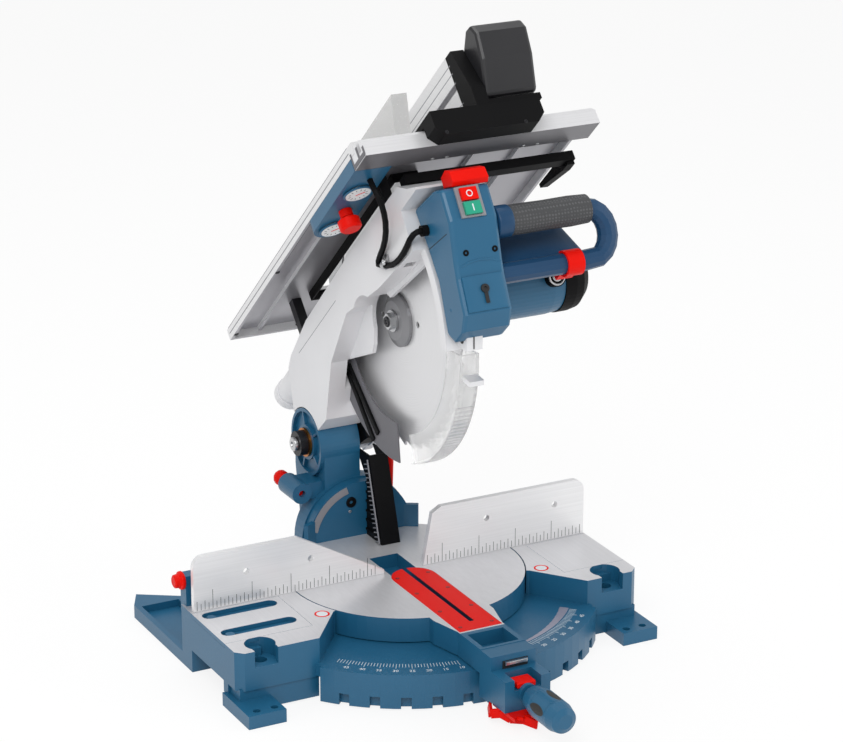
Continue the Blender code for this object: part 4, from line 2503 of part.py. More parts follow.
def crown_guard():
    """The light channel over the exposed blade."""
    pin_s, pin_h = [v * BLADE_RADIUS for v in KNIFE_PIN_SHARES]
    crown_axis = empty("crown_axis", blade_axis, (0, -pin_s, pin_h))
    outline = [
        (-CROWN_BACK - pin_s, CROWN_LOW - pin_h),
        (-CROWN_BACK - pin_s, CROWN_TOP - CROWN_ROUND - pin_h),
        (-CROWN_BACK + CROWN_ROUND - pin_s, CROWN_TOP - pin_h),
        (CROWN_FRONT_HIGH - pin_s, CROWN_TOP - pin_h),
        (CROWN_FRONT_LOW - pin_s, CROWN_LOW - pin_h),
    ]
    crown = slab("crown_guard", crown_axis, "X", side(outline), -CROWN_HALF, CROWN_HALF)
    inside = slab(
        "crown_inside",
        crown_axis,
        "X",
        side(
            [
                (-CROWN_BACK - OVERRUN - pin_s, CROWN_LOW - OVERRUN - pin_h),
                (-CROWN_BACK - OVERRUN - pin_s, CROWN_TOP - CROWN_WALL * 2 - pin_h),
                (CROWN_FRONT_HIGH - CROWN_ROUND - pin_s, CROWN_TOP - CROWN_WALL * 2 - pin_h),
                (CROWN_FRONT_LOW - CROWN_ROUND - pin_s, CROWN_LOW - OVERRUN - pin_h),
            ]
        ),
        -CROWN_HALF + CROWN_WALL,
        CROWN_HALF - CROWN_WALL,
    )
    hole = rod(
        "crown_hole",
        crown_axis,
        "X",
        (0, 0, 0),
        KNIFE_PIN + GAP,
        -CROWN_HALF - OVERRUN,
        CROWN_HALF + OVERRUN,
        16,
    )
    cut(crown, inside, hole)
    keep(crown, clear_plastic)


def cable():
    """The lead from the dial box to the clip on the arm and on to the gland."""
    lower = tube("cable_lower", blade_axis, CABLE_LOWER, CABLE_RADIUS, 2)
    keep(lower, black_plastic)
    upper = tube("cable_upper", blade_axis, CABLE_UPPER, CABLE_RADIUS, 2)
    keep(upper, black_plastic)
    place = Vector(CABLE_LOWER[0])
    along = Vector(CABLE_LOWER[1]) - place
    clip_axis = empty("clip_axis", blade_axis, place)
    clip_axis.rotation_euler = (atan2(along.z, along.y), 0, 0)
    ring = rod(
        "cable_clip",
        clip_axis,
        "Y",
        (0, 0, 0),
        CABLE_RADIUS + CLIP_WALL,
        -CLIP_WIDTH / 2,
        CLIP_WIDTH / 2,
        20,
    )
    foot_plate = box(
        "clip_foot",
        clip_axis,
        (-ARM_OUTER_X - GAP - CLIP_WALL - place.x, -CLIP_WIDTH / 2, -CLIP_FOOT),
        (-ARM_OUTER_X - GAP - place.x, CLIP_WIDTH / 2, 0),
    )
    join(ring, foot_plate)
    face = box(
        "clip_trim",
        clip_axis,
        (-ARM_OUTER_X - GAP - place.x, -CLIP_WIDTH, -CLIP_FOOT * 2),
        (CLIP_FOOT, CLIP_WIDTH, CLIP_FOOT * 2),
    )
    hole = rod("clip_hole", clip_axis, "Y", (0, 0, 0), CABLE_RADIUS + GAP, -CLIP_WIDTH, CLIP_WIDTH, 20)
    cut(ring, hole, face)
    keep(ring, steel)


def build():
    """All the pieces."""
    base_casting()
    extension("extension_left", -1, WING_LEFT, EXT_LEFT_INNER, True)
    extension("extension_right", 1, WING_RIGHT, EXT_RIGHT_INNER, False)
    fences()
    fence_knob()
    turntable()
    kerf_plate()
    mitre_lock()
    bevel_hub()
    column_small_parts()
    arm_casting()
    head_frame_parts()
    spindle()
    lower_guard()
    front_housing()
    handle_and_motor()
    upper_table()
    table_parts()
    rip_fence()
    crown_guard()
    cable()


build()
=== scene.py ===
# %% [markdown]
# # A combination mitre saw, dressed for its portrait
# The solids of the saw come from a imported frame: castings, tables, fences, guards and levers are all there and
# already move. This lesson gives them their real finishes and adds what is too small or too thin for the solids,
# such as scales, screws, seams and trim. Each new piece rides on one of the frame's bodies.

# %% Load the frame
from math import cos, pi, radians, sin

import bmesh
import bpy
from mathutils import Matrix, Vector


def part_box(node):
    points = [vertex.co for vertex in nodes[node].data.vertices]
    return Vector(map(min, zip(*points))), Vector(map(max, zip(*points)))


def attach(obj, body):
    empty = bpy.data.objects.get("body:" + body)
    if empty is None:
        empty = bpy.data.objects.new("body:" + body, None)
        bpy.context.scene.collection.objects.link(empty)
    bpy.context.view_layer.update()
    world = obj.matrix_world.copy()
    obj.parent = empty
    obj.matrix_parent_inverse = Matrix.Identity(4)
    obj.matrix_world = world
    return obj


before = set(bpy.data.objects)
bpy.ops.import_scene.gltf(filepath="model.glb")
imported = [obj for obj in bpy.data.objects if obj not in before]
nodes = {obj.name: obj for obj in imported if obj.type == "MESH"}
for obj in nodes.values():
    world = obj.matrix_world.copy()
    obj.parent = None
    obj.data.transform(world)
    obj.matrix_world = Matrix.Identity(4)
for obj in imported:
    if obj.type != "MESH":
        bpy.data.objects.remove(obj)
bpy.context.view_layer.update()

# %% [markdown]
# The camera stands low on the left and far away, with a long lens, as for a catalogue picture. Its direction is
# given as an angle round the saw and an angle above the bench, so that it is easy to change.

# %% Camera
AROUND = radians(-27.446)
ABOVE = radians(19.712)
DISTANCE = 3.6963
LOOK_ASIDE = 0.01953
LOOK_UP = 0.32628
SENSOR_MM = 36
FOCAL_PIXELS = 3170.18
PICTURE_PIXELS = 843
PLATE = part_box("kerf_plate")
TABLE_CENTRE = Vector(((PLATE[0].x + PLATE[1].x) / 2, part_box("fence_left")[0].y, 0.0))
right_way = Vector((cos(AROUND), sin(AROUND), 0))
back_way = Vector((sin(AROUND) * cos(ABOVE), -cos(AROUND) * cos(ABOVE), sin(ABOVE)))
look_at = TABLE_CENTRE + right_way * LOOK_ASIDE + Vector((0, 0, LOOK_UP))
bpy.ops.object.camera_add(location=look_at + back_way * DISTANCE)
camera = bpy.context.object
camera.rotation_euler = back_way.to_track_quat("Z", "Y").to_euler()
camera.data.sensor_fit = "HORIZONTAL"
camera.data.lens = SENSOR_MM * FOCAL_PIXELS / PICTURE_PIXELS
bpy.context.scene.camera = camera
print("camera at", [round(v, 3) for v in camera.location], "lens", round(camera.data.lens, 1))

# %% [markdown]
# Colours are written as sRGB codes, the way a painter reads them from a chart, and one function turns them into
# the linear numbers that Blender works with. One more function adds a shader node with its settings and links,
# so that a material reads as a short recipe.

# %% Colour and node helpers
def linear(code):
    """Linear red, green, blue and one from an sRGB code such as '#2b6284'."""
    parts = [int(code[i : i + 2], 16) / 255 for i in (1, 3, 5)]
    return [p / 12.92 if p <= 0.04045 else ((p + 0.055) / 1.055) ** 2.4 for p in parts] + [1.0]


def add(tree, kind, inputs=None, **settings):
    """A node of this kind, its settings set, and each named input given a value or linked to a socket."""
    made = tree.nodes.new(kind)
    for key, value in settings.items():
        setattr(made, key, value)
    for key, value in (inputs or {}).items():
        if isinstance(value, bpy.types.NodeSocket):
            tree.links.new(value, made.inputs[key])
        else:
            made.inputs[key].default_value = value
    return made


def new_material(name):
    """An empty node material and its tree, with only the output left in it."""
    material = bpy.data.materials.new(name)
    material.use_nodes = True
    tree = material.node_tree
    tree.nodes.clear()
    output = tree.nodes.new("ShaderNodeOutputMaterial")
    return material, tree, output


# %% [markdown]
# Most of the saw is moulded, cast or painted. Those surfaces share one recipe: a colour that drifts a little over
# some centimetres, as pigment and handling make it, and a fine grain that catches the light. The grain's size in
# millimetres is what tells powder coat from moulded plastic.

# %% Moulded and painted surfaces
def coated(tree, colour, shade, roughness, grain_mm, bump, drift_mm=60, **shader):
    """A Principled shader with a slightly drifting colour and a fine surface grain."""
    place = add(tree, "ShaderNodeTexCoord").outputs["Object"]
    drift = add(tree, "ShaderNodeTexNoise", {"Vector": place, "Scale": 1000 / drift_mm, "Detail": 3.0})
    grain = add(tree, "ShaderNodeTexNoise", {"Vector": place, "Scale": 1000 / grain_mm, "Detail": 2.0})
    hue = add(
        tree,
        "ShaderNodeMix",
        {"Factor": drift.outputs["Fac"], "A": linear(colour), "B": linear(shade)},
        data_type="RGBA",
    )
    gloss = add(
        tree,
        "ShaderNodeMapRange",
        {"Value": grain.outputs["Fac"], "To Min": roughness - 0.05, "To Max": roughness + 0.07},
    )
    relief = add(
        tree, "ShaderNodeBump", {"Height": grain.outputs["Fac"], "Strength": bump, "Distance": grain_mm / 4000}
    )
    body = add(
        tree,
        "ShaderNodeBsdfPrincipled",
        {"Base Color": hue.outputs["Result"], "Roughness": gloss.outputs["Result"], "Normal": relief.outputs["Normal"]},
    )
    for socket, value in shader.items():
        body.inputs[socket.replace("_", " ")].default_value = value
    return body


def coated_material(name, *recipe, **shader):
    """A whole material from one coated surface."""
    material, tree, output = new_material(name)
    tree.links.new(coated(tree, *recipe, **shader).outputs["BSDF"], output.inputs["Surface"])
    return material


# Powder coat on die-cast aluminium: a thick, even skin with a soft shine and a faint orange peel.
BLUE_COAT = ("#1f6184", "#1b587a", 0.36, 1.6, 0.12)
blue_powder_coat = coated_material("blue_powder_coat", *BLUE_COAT)
# The same blue moulded in glass-filled nylon for the handle and small covers, a little glossier.
blue_nylon = coated_material("blue_nylon", "#1a4468", "#173d5f", 0.36, 0.9, 0.16, Specular_IOR_Level=0.35)
# Silver lacquer over a rough casting: pale, nearly white, with a fine metallic sparkle.
silver_lacquer = coated_material("silver_lacquer", "#e6e6e8", "#dedee0", 0.38, 0.7, 0.10, Metallic=0.15)
# The outer flange, the inner guard and the duct's trim are grey.
flange_grey = coated_material("flange_grey", "#88888b", "#7d7d80", 0.36, 0.6, 0.08, Metallic=0.4)
guard_grey = coated_material("guard_grey", "#66656a", "#5e5d62", 0.42, 0.6, 0.15)
# This grey is the switch bezel, the duct's rungs, the arm's seam and the rip fence's grooves, and it also paints a
# highlight beside the bevel joint and shadow lines under the upper table.
bezel_grey_and_painted_light = coated_material("bezel_grey_and_painted_light", "#8d8d92", "#838388", 0.40, 0.6, 0.10)
# A pale metallic grey that paints the glare on the mitre scale's blue paint.
scale_glare = coated_material("scale_glare", "#a3a2b2", "#9897a8", 0.34, 0.6, 0.06, Metallic=0.3)
# The hood's moulding is drawn a little lighter than the other black parts, which paints the sheen on its top, and it
# also shines softly.
hood_nylon_sheen = coated_material("hood_nylon_sheen", "#242427", "#1e1e21", 0.36, 0.6, 0.16)
# Red acetal and ABS parts that the hand looks for: evenly coloured and smooth.
red_abs = coated_material("red_abs", "#e81002", "#dc0e02", 0.40, 0.8, 0.06, Specular_IOR_Level=0.12)
green_abs = coated_material("green_abs", "#1fa283", "#1b9577", 0.32, 0.8, 0.06)
# Black glass-filled nylon with a spark-eroded grain that spreads every highlight.
black_nylon = coated_material("black_nylon", "#0c0c0d", "#08080a", 0.55, 0.6, 0.30, Specular_IOR_Level=0.12)
# Thin printed marks, and painted shade in moulded slots, holes and windows: nearly black and dull.
print_and_shade_black = coated_material("print_and_shade_black", "#1c1c1e", "#19191b", 0.60, 0.5, 0.05)
white_print = coated_material("white_print", "#dfe6ea", "#d6dde1", 0.55, 0.5, 0.05)
# White acetal dial faces.
dial_acetal = coated_material("dial_acetal", "#eceeee", "#e2e5e5", 0.35, 0.6, 0.05)
# Oiled bronze of the pivot bush.
oiled_bronze = coated_material("oiled_bronze", "#c07a3c", "#a96a33", 0.34, 0.8, 0.10, Metallic=1.0)
# Zinc-plated and black-oxide fasteners.
zinc_plate = coated_material("zinc_plate", "#c9cacb", "#bdbec0", 0.30, 0.6, 0.08, Metallic=1.0)
black_oxide = coated_material("black_oxide", "#303033", "#28282b", 0.38, 0.5, 0.10, Metallic=0.6)
print("materials so far", len(bpy.data.materials))

# %% [markdown]
# The tables and fences are aluminium, milled or brushed flat: long fine scratches all run one way, and they
# stretch the highlights across themselves. A noise pattern squeezed in one direction draws them. The real
# scratches are a few hundredths of a millimetre apart, and here they are drawn about ten times coarser to show.

# %% Milled aluminium
def shaded_below(tree, colour, under):
    """The colour, blended into a darker painted shade on faces that look down."""
    normal = add(tree, "ShaderNodeNewGeometry").outputs["True Normal"]
    height = add(tree, "ShaderNodeSeparateXYZ", {0: normal}).outputs["Z"]
    down = add(tree, "ShaderNodeMapRange", {"Value": height, "From Min": -0.2, "From Max": -0.7})
    blend = add(
        tree, "ShaderNodeMix", {"Factor": down.outputs["Result"], "A": colour, "B": linear(under)}, data_type="RGBA"
    )
    return blend.outputs["Result"]


def milled(tree, colour, across, roughness=0.30, metallic=0.45, under=None):
    """A Principled shader brushed along one axis; across holds the scratch density along x, y and z per metre.
    Faces that look down take the painted shade colour, if there is one: a darker colour painted where shade falls under
    the part."""
    place = add(tree, "ShaderNodeTexCoord").outputs["Object"]
    squeezed = add(tree, "ShaderNodeMapping", {"Vector": place, "Scale": across})
    scratch = add(tree, "ShaderNodeTexNoise", {"Vector": squeezed.outputs["Vector"], "Scale": 1.0, "Detail": 4.0})
    cloud = add(tree, "ShaderNodeTexNoise", {"Vector": place, "Scale": 22.0, "Detail": 2.0})
    light, dark = linear(colour), [v * 0.86 for v in linear(colour)[:3]] + [1.0]
    streaks = add(
        tree, "ShaderNodeMix", {"Factor": scratch.outputs["Fac"], "A": dark, "B": light}, data_type="RGBA"
    )
    base = streaks.outputs["Result"]
    if under:
        base = shaded_below(tree, base, under)
    gloss = add(
        tree,
        "ShaderNodeMapRange",
        {"Value": cloud.outputs["Fac"], "To Min": roughness - 0.06, "To Max": roughness + 0.10},
    )
    relief = add(tree, "ShaderNodeBump", {"Height": scratch.outputs["Fac"], "Strength": 0.10, "Distance": 0.0002})
    return add(
        tree,
        "ShaderNodeBsdfPrincipled",
        {
            "Base Color": base,
            "Roughness": gloss.outputs["Result"],
            "Metallic": metallic,
            "Normal": relief.outputs["Normal"],
        },
    )


def milled_material(name, colour, across, **more):
    """A whole material of brushed metal."""
    material, tree, output = new_material(name)
    tree.links.new(milled(tree, colour, across, **more).outputs["BSDF"], output.inputs["Surface"])
    return material


ALONG_X = (12, 900, 900)
ALONG_Y = (900, 12, 900)
# Faces that look down on the upper table, rip fence, rail and guard lug take a darker grey, which is painted shade.
extruded_aluminium = milled_material("extruded_aluminium", "#ececed", ALONG_Y, under="#a9a8ad")
rail_aluminium = milled_material("rail_aluminium", "#ececee", ALONG_X, under="#757478")
turned_steel = milled_material("turned_steel", "#b9babc", ALONG_X, roughness=0.28, metallic=1.0)

# %% [markdown]
# The lower table and its base are one metal with two finishes. The foundry paints the whole casting blue and then
# the top is milled flat, so bare metal shows only where the cutter passed. The material finds those faces by
# their height and by which way they face.

# %% Painted castings with a milled face
def cast_and_milled(name, axis, sign, level, across, colour="#e2e2e5", depth=0.0004, spread=0.1):
    """Blue powder coat, with milled metal on faces that look along the axis at this level, give or take a depth."""
    material, tree, output = new_material(name)
    paint = coated(tree, *BLUE_COAT)
    metal = milled(tree, colour, across)
    place = add(tree, "ShaderNodeSeparateXYZ", {0: add(tree, "ShaderNodeTexCoord").outputs["Object"]})
    way = add(tree, "ShaderNodeSeparateXYZ", {0: add(tree, "ShaderNodeNewGeometry").outputs["True Normal"]})
    near = add(tree, "ShaderNodeMath", {0: place.outputs[axis], 1: level, 2: depth}, operation="COMPARE")
    facing = add(tree, "ShaderNodeMath", {0: way.outputs[axis], 1: sign, 2: spread}, operation="COMPARE")
    behind = add(tree, "ShaderNodeMath", {0: place.outputs["Y"], 1: PLATE[0].y - 0.003}, operation="GREATER_THAN")
    both = add(tree, "ShaderNodeMath", {0: near.outputs[0], 1: facing.outputs[0]}, operation="MULTIPLY")
    both = add(tree, "ShaderNodeMath", {0: both.outputs[0], 1: behind.outputs[0]}, operation="MULTIPLY")
    blend = add(
        tree, "ShaderNodeMixShader", {0: both.outputs[0], 1: paint.outputs["BSDF"], 2: metal.outputs["BSDF"]}
    )
    tree.links.new(blend.outputs["Shader"], output.inputs["Surface"])
    return material


TABLE_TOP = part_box("kerf_plate")[1].z
FENCE_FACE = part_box("fence_left")[0].y
table_casting = cast_and_milled("table_casting", "Z", 1.0, TABLE_TOP, (260, 60, 900))
base_paint = cast_and_milled("base_paint", "Z", 1.0, TABLE_TOP, (700, 10, 900))
fence_casting = cast_and_milled("fence_casting", "Y", -1.0, FENCE_FACE, (9, 900, 700), "#f4f4f5", 0.0068, 1.4)
wing_plate = cast_and_milled("wing_plate", "Z", 1.0, TABLE_TOP, (700, 10, 900))
print("table top at", round(TABLE_TOP, 4), "fence face at", round(FENCE_FACE, 4))

# %% [markdown]
# The blade is a ground steel disc. Grinding leaves rings round its centre, so the pattern follows the distance
# from the arbor instead of a straight axis.

# %% Ground steel blade
HEAD_TILT = radians(-43)
BLADE_CENTRE = (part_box("outer_flange")[0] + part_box("outer_flange")[1]) / 2
BLADE_CENTRE.x = (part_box("blade")[0].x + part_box("blade")[1].x) / 2
ground_steel, tree, output = new_material("ground_steel")
place = add(tree, "ShaderNodeTexCoord").outputs["Object"]
arm_out = add(tree, "ShaderNodeVectorMath", {0: place, 1: tuple(BLADE_CENTRE)}, operation="SUBTRACT")
distance = add(tree, "ShaderNodeVectorMath", {0: arm_out.outputs["Vector"]}, operation="LENGTH")
rings = add(
    tree, "ShaderNodeTexNoise", {"W": distance.outputs["Value"], "Scale": 1400.0, "Detail": 3.0}, noise_dimensions="1D"
)
shade = add(
    tree,
    "ShaderNodeMix",
    {"Factor": rings.outputs["Fac"], "A": linear("#d0d0d2"), "B": linear("#f2f2f3")},
    data_type="RGBA",
)
relief = add(tree, "ShaderNodeBump", {"Height": rings.outputs["Fac"], "Strength": 0.12, "Distance": 0.0002})
steel = add(
    tree,
    "ShaderNodeBsdfPrincipled",
    {
        "Base Color": shade.outputs["Result"],
        "Roughness": 0.36,
        "Metallic": 0.55,
        "Normal": relief.outputs["Normal"],
    },
)
tree.links.new(steel.outputs["BSDF"], output.inputs["Surface"])

# %% [markdown]
# The guards are clear polycarbonate. It lets nearly all light through, bends it a little, and shows itself by its
# edges and by a faint grey in the thick parts. The grip is soft rubber with raised dots that a cell pattern draws.

# %% Clear polycarbonate and dotted rubber
clear_polycarbonate, tree, output = new_material("clear_polycarbonate")
place = add(tree, "ShaderNodeTexCoord").outputs["Object"]
haze = add(tree, "ShaderNodeTexNoise", {"Vector": place, "Scale": 160.0, "Detail": 3.0})
gloss = add(tree, "ShaderNodeMapRange", {"Value": haze.outputs["Fac"], "To Min": 0.03, "To Max": 0.16})
plastic = add(
    tree,
    "ShaderNodeBsdfPrincipled",
    {
        "Base Color": linear("#fafafa"),
        "Roughness": gloss.outputs["Result"],
        "IOR": 1.58,
        "Transmission Weight": 0.86,
        "Alpha": 0.60,
    },
)
tree.links.new(plastic.outputs["BSDF"], output.inputs["Surface"])

# The crown guard is the same plastic, frosted.
frosted_polycarbonate = coated_material(
    "frosted_polycarbonate", "#f0f0ef", "#e8e8e8", 0.24, 1.2, 0.05, Transmission_Weight=0.35, Alpha=0.90
)

dotted_rubber, tree, output = new_material("dotted_rubber")
place = add(tree, "ShaderNodeTexCoord").outputs["Object"]
# Dots stand about 4 mm apart.
cells = add(tree, "ShaderNodeTexVoronoi", {"Vector": place, "Scale": 250.0, "Randomness": 0.15})
dots = add(
    tree,
    "ShaderNodeMapRange",
    {"Value": cells.outputs["Distance"], "From Min": 0.22, "From Max": 0.42, "To Min": 1.0, "To Max": 0.0},
)
relief = add(tree, "ShaderNodeBump", {"Height": dots.outputs["Result"], "Strength": 0.8, "Distance": 0.0006})
hue = add(
    tree,
    "ShaderNodeMix",
    {"Factor": dots.outputs["Result"], "A": linear("#3f4042"), "B": linear("#57585a")},
    data_type="RGBA",
)
rubber = add(
    tree,
    "ShaderNodeBsdfPrincipled",
    {"Base Color": hue.outputs["Result"], "Roughness": 0.62, "Normal": relief.outputs["Normal"]},
)
tree.links.new(rubber.outputs["BSDF"], output.inputs["Surface"])

# %% [markdown]
# The mitre handle is a blue barrel with four oval rubber insets. Their edge is an ellipse in two measures: how far
# a point lies along the handle, and how far it lies round it from the nearest quarter turn.

# %% Oval rubber insets
handle_insets, tree, output = new_material("handle_insets")
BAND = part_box("mitre_handle_grip")
band_middle = (BAND[0] + BAND[1]) / 2
place = add(tree, "ShaderNodeTexCoord").outputs["Object"]
off = add(tree, "ShaderNodeVectorMath", {0: place, 1: tuple(band_middle)}, operation="SUBTRACT")
off = add(tree, "ShaderNodeSeparateXYZ", {0: off.outputs["Vector"]})
angle = add(tree, "ShaderNodeMath", {0: off.outputs["Z"], 1: off.outputs["X"]}, operation="ARCTAN2")
turned = add(tree, "ShaderNodeMath", {0: angle.outputs[0], 1: 2.0, 2: -2 * radians(75)}, operation="MULTIPLY_ADD")
round_it = add(tree, "ShaderNodeMath", {0: turned.outputs[0]}, operation="SINE")
round_it = add(tree, "ShaderNodeMath", {0: round_it.outputs[0], 1: 1 / 0.60}, operation="MULTIPLY")
along = add(tree, "ShaderNodeMath", {0: off.outputs["Y"], 1: 1 / 0.0142}, operation="MULTIPLY")
ring = add(tree, "ShaderNodeCombineXYZ", {"X": round_it.outputs[0], "Y": along.outputs[0]})
ring = add(tree, "ShaderNodeVectorMath", {0: ring.outputs[0]}, operation="LENGTH")
outside = add(tree, "ShaderNodeMapRange", {"Value": ring.outputs["Value"], "From Min": 0.96, "From Max": 1.04})
dark = coated(tree, "#33322f", "#2b2a28", 0.60, 0.8, 0.30)
paint = coated(tree, *BLUE_COAT)
blend = add(
    tree, "ShaderNodeMixShader", {0: outside.outputs["Result"], 1: dark.outputs["BSDF"], 2: paint.outputs["BSDF"]}
)
tree.links.new(blend.outputs["Shader"], output.inputs["Surface"])

# %% [markdown]
# Each solid of the frame now gets the finish of the real piece.

# %% Finishes on the frame's solids
FINISHES = {
    base_paint: ("base_casting",),
    table_casting: ("turntable",),
    wing_plate: ("extension_left", "extension_right"),
    fence_casting: ("fence_left", "fence_right"),
    blue_powder_coat: ("bevel_hub", "front_housing", "gear_case", "motor_housing", "mitre_handle", "dial_box"),
    blue_nylon: ("d_handle",),
    silver_lacquer: ("arm_casting", "dust_nozzle"),
    extruded_aluminium: ("upper_table", "rip_fence"),
    rail_aluminium: ("front_rail", "guard_lug"),
    turned_steel: ("arbor", "riving_knife", "cable_clip"),
    black_oxide: ("pivot_shaft", "height_post_front", "height_post_rear"),
    flange_grey: ("outer_flange",),
    zinc_plate: ("blade_bolt",),
    guard_grey: ("inner_guard",),
    bezel_grey_and_painted_light: ("switch_frame",),
    hood_nylon_sheen: ("fence_hood",),
    ground_steel: ("blade",),
    red_abs: (
        "kerf_plate",
        "detent_lever",
        "release_tab",
        "bevel_clamp",
        "lock_pin",
        "fence_knob",
        "button_off",
        "top_lever",
        "trigger",
        "height_knob",
    ),
    green_abs: ("button_on",),
    black_nylon: (
        "lower_duct",
        "upper_duct",
        "blade_frame",
        "motor_cap",
        "brush_cap",
        "cable_gland",
        "cable_lower",
        "cable_upper",
        "slot_shroud",
        "fence_shoe",
        "fence_bracket",
    ),
    clear_polycarbonate: ("lower_guard",),
    frosted_polycarbonate: ("crown_guard",),
    dotted_rubber: ("grip_sleeve",),
    handle_insets: ("mitre_handle_grip",),
    oiled_bronze: ("pivot_bush",),
    dial_acetal: ("dial_near", "dial_far"),
}
for material, names in FINISHES.items():
    for name in names:
        nodes[name].data.materials.clear()
        nodes[name].data.materials.append(material)
unfinished = sorted(set(nodes) - {name for names in FINISHES.values() for name in names})
print("solids without a finish", unfinished)

# %% [markdown]
# Round surfaces come from the frame as flat strips. Shading them smooth wherever two strips meet at a small angle
# makes them look turned or moulded, and leaves real corners sharp.

# %% Smooth the round solids
for name, solid in nodes.items():
    bpy.ops.object.select_all(action="DESELECT")
    solid.select_set(True)
    bpy.context.view_layer.objects.active = solid
    bpy.ops.object.shade_smooth_by_angle(angle=radians(28))

# %% [markdown]
# Small pieces are modelled where it is handy and then moved by their mesh, so that every finished object stays at
# the origin. Pieces on the sawing head are made in the head's own level frame, x across the blade, y back and z
# up, and one matrix tilts them with the raised head.

# %% Helpers for new pieces
HEAD = Matrix.Translation(Vector((TABLE_CENTRE.x, 0.04305, 0.38709))) @ Matrix.Rotation(HEAD_TILT, 4, "X")
LEVEL = Matrix.Translation(TABLE_CENTRE)


def settle(piece, name, material, body, place=Matrix.Identity(4)):
    """Names a finished piece, moves its place into its mesh, and lets it ride on a body."""
    bpy.context.view_layer.update()
    piece.data.transform(place @ piece.matrix_world)
    piece.matrix_world = Matrix.Identity(4)
    piece.name = name
    piece.data.materials.clear()
    piece.data.materials.append(material)
    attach(piece, body)
    return piece


def start_clean():
    """Nothing selected, so that an operator acts only on what comes next."""
    bpy.ops.object.select_all(action="DESELECT")


def gather(pieces):
    """Several copies joined into one object."""
    start_clean()
    for piece in pieces:
        piece.select_set(True)
    bpy.context.view_layer.objects.active = pieces[0]
    if len(pieces) > 1:
        bpy.ops.object.join()
    return pieces[0]


def copy_of(piece, place):
    """A copy with its own mesh at another place."""
    twin = piece.copy()
    twin.data = piece.data.copy()
    bpy.context.scene.collection.objects.link(twin)
    twin.matrix_world = place
    return twin


def pick_faces(mesh, rule):
    """In edit mode, selects only the faces whose centre and normal satisfy the rule."""
    bpy.ops.mesh.select_all(action="DESELECT")
    bpy.ops.mesh.select_mode(type="FACE")
    cage = bmesh.from_edit_mesh(mesh)
    for face in cage.faces:
        if rule(face.calc_center_median(), face.normal):
            face.select_set(True)
    cage.select_flush(True)
    bmesh.update_edit_mesh(mesh)


# %% [markdown]
# A ruler line is a shallow engraved stroke filled with black. Seen from any side it is a low bar with slanted
# ends, so one bar is made from a plane by extruding and drawing in its top, and then it is copied along the fence.

# %% One engraved stroke
start_clean()
bpy.ops.mesh.primitive_plane_add(size=1)
stroke = bpy.context.object
stroke.data.transform(Matrix.Diagonal((0.0006, 1.0, 1.0, 1.0)))
bpy.ops.object.mode_set(mode="EDIT")
bpy.ops.mesh.select_all(action="SELECT")
bpy.ops.mesh.extrude_region_move(TRANSFORM_OT_translate={"value": (0, 0, 0.00012)})
bpy.ops.transform.resize(value=(0.8, 0.98, 1.0))
bpy.ops.object.mode_set(mode="OBJECT")
print("stroke faces", len(stroke.data.polygons))


def stroke_at(place, length):
    """The stroke scaled to a length in its mesh, standing on its lower end at a place."""
    twin = copy_of(stroke, place)
    twin.data.transform(Matrix.Translation((0, length / 2, 0)) @ Matrix.Diagonal((1, length, 1, 1)))
    return twin


# %% [markdown]
# Both fences carry a ruler from the blade outwards, a stroke every five millimetres, a longer one every ten and
# the longest every fifty.

# %% Rulers on the fences
UPRIGHT = Matrix.Rotation(radians(90), 4, "X")
RULER_STEP = 0.005
RULER_FOOT = 0.0008
FIFTY_STROKE, TEN_STROKE, FIVE_STROKE = 0.0235, 0.0115, 0.0080


def ruler(name, solid, body, first, last):
    """Strokes along one fence's face, from first to last five-millimetre step beside the blade."""
    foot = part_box(solid)[0].z + RULER_FOOT
    marks = []
    for step in range(first, last + 1):
        length = FIFTY_STROKE if step % 10 == 0 else (TEN_STROKE if step % 2 == 0 else FIVE_STROKE)
        spot = Vector((TABLE_CENTRE.x + step * RULER_STEP, FENCE_FACE - 0.00001, foot))
        marks.append(stroke_at(Matrix.Translation(spot) @ UPRIGHT, length))
    return settle(gather(marks), name, print_and_shade_black, body)


ruler("ruler_left", "fence_left", "fence_left", -54, -8)
ruler("ruler_right", "fence_right", "base", 6, 48)

# %% [markdown]
# The quarter round in front of the table carries the mitre scale in white on the blue paint: one stroke for each
# degree from ten outwards, longer every five, and a plain number at each long stroke.

# %% Mitre scale
FLANGE_TOP = TABLE_CENTRE + Vector((0, 0, 0.0440))
STROKE_RADIUS = 0.2000
NUMBER_RADIUS = 0.2208
NUMBER_SIZE = 0.0072
NUMBER_RAISE = 0.00006
marks = []
for degree in range(-49, 50):
    if abs(degree) < 10:
        continue
    length = 0.0120 if degree % 5 == 0 else 0.0085
    spin = Matrix.Rotation(radians(degree), 4, "Z")
    foot = Matrix.Translation((0, -STROKE_RADIUS, 0)) @ Matrix.Rotation(pi, 4, "Z")
    spot = Matrix.Translation(FLANGE_TOP) @ spin @ foot
    marks.append(stroke_at(spot, length))
settle(gather(marks), "mitre_scale", white_print, "base")

numbers = []
for degree in (*range(-45, -5, 5), *range(10, 50, 5)):
    start_clean()
    bpy.ops.object.text_add()
    label = bpy.context.object
    label.data.body = str(abs(degree))
    label.data.size = NUMBER_SIZE
    label.data.align_x = "CENTER"
    label.data.extrude = NUMBER_RAISE
    bpy.ops.object.convert(target="MESH")
    label = bpy.context.object
    spin = Matrix.Rotation(radians(degree), 4, "Z")
    raised = Matrix.Translation(FLANGE_TOP + Vector((0, 0, NUMBER_RAISE)))
    label.matrix_world = raised @ spin @ Matrix.Translation((0, -NUMBER_RADIUS, 0))
    numbers.append(label)
settle(gather(numbers), "mitre_numbers", white_print, "base")

# %% [markdown]
# Screws hold the kerf plate, covers and guards. A real one is a turned pan head with a driver recess, so a short
# cylinder has its rim bevelled, and its top is inset and pressed in.

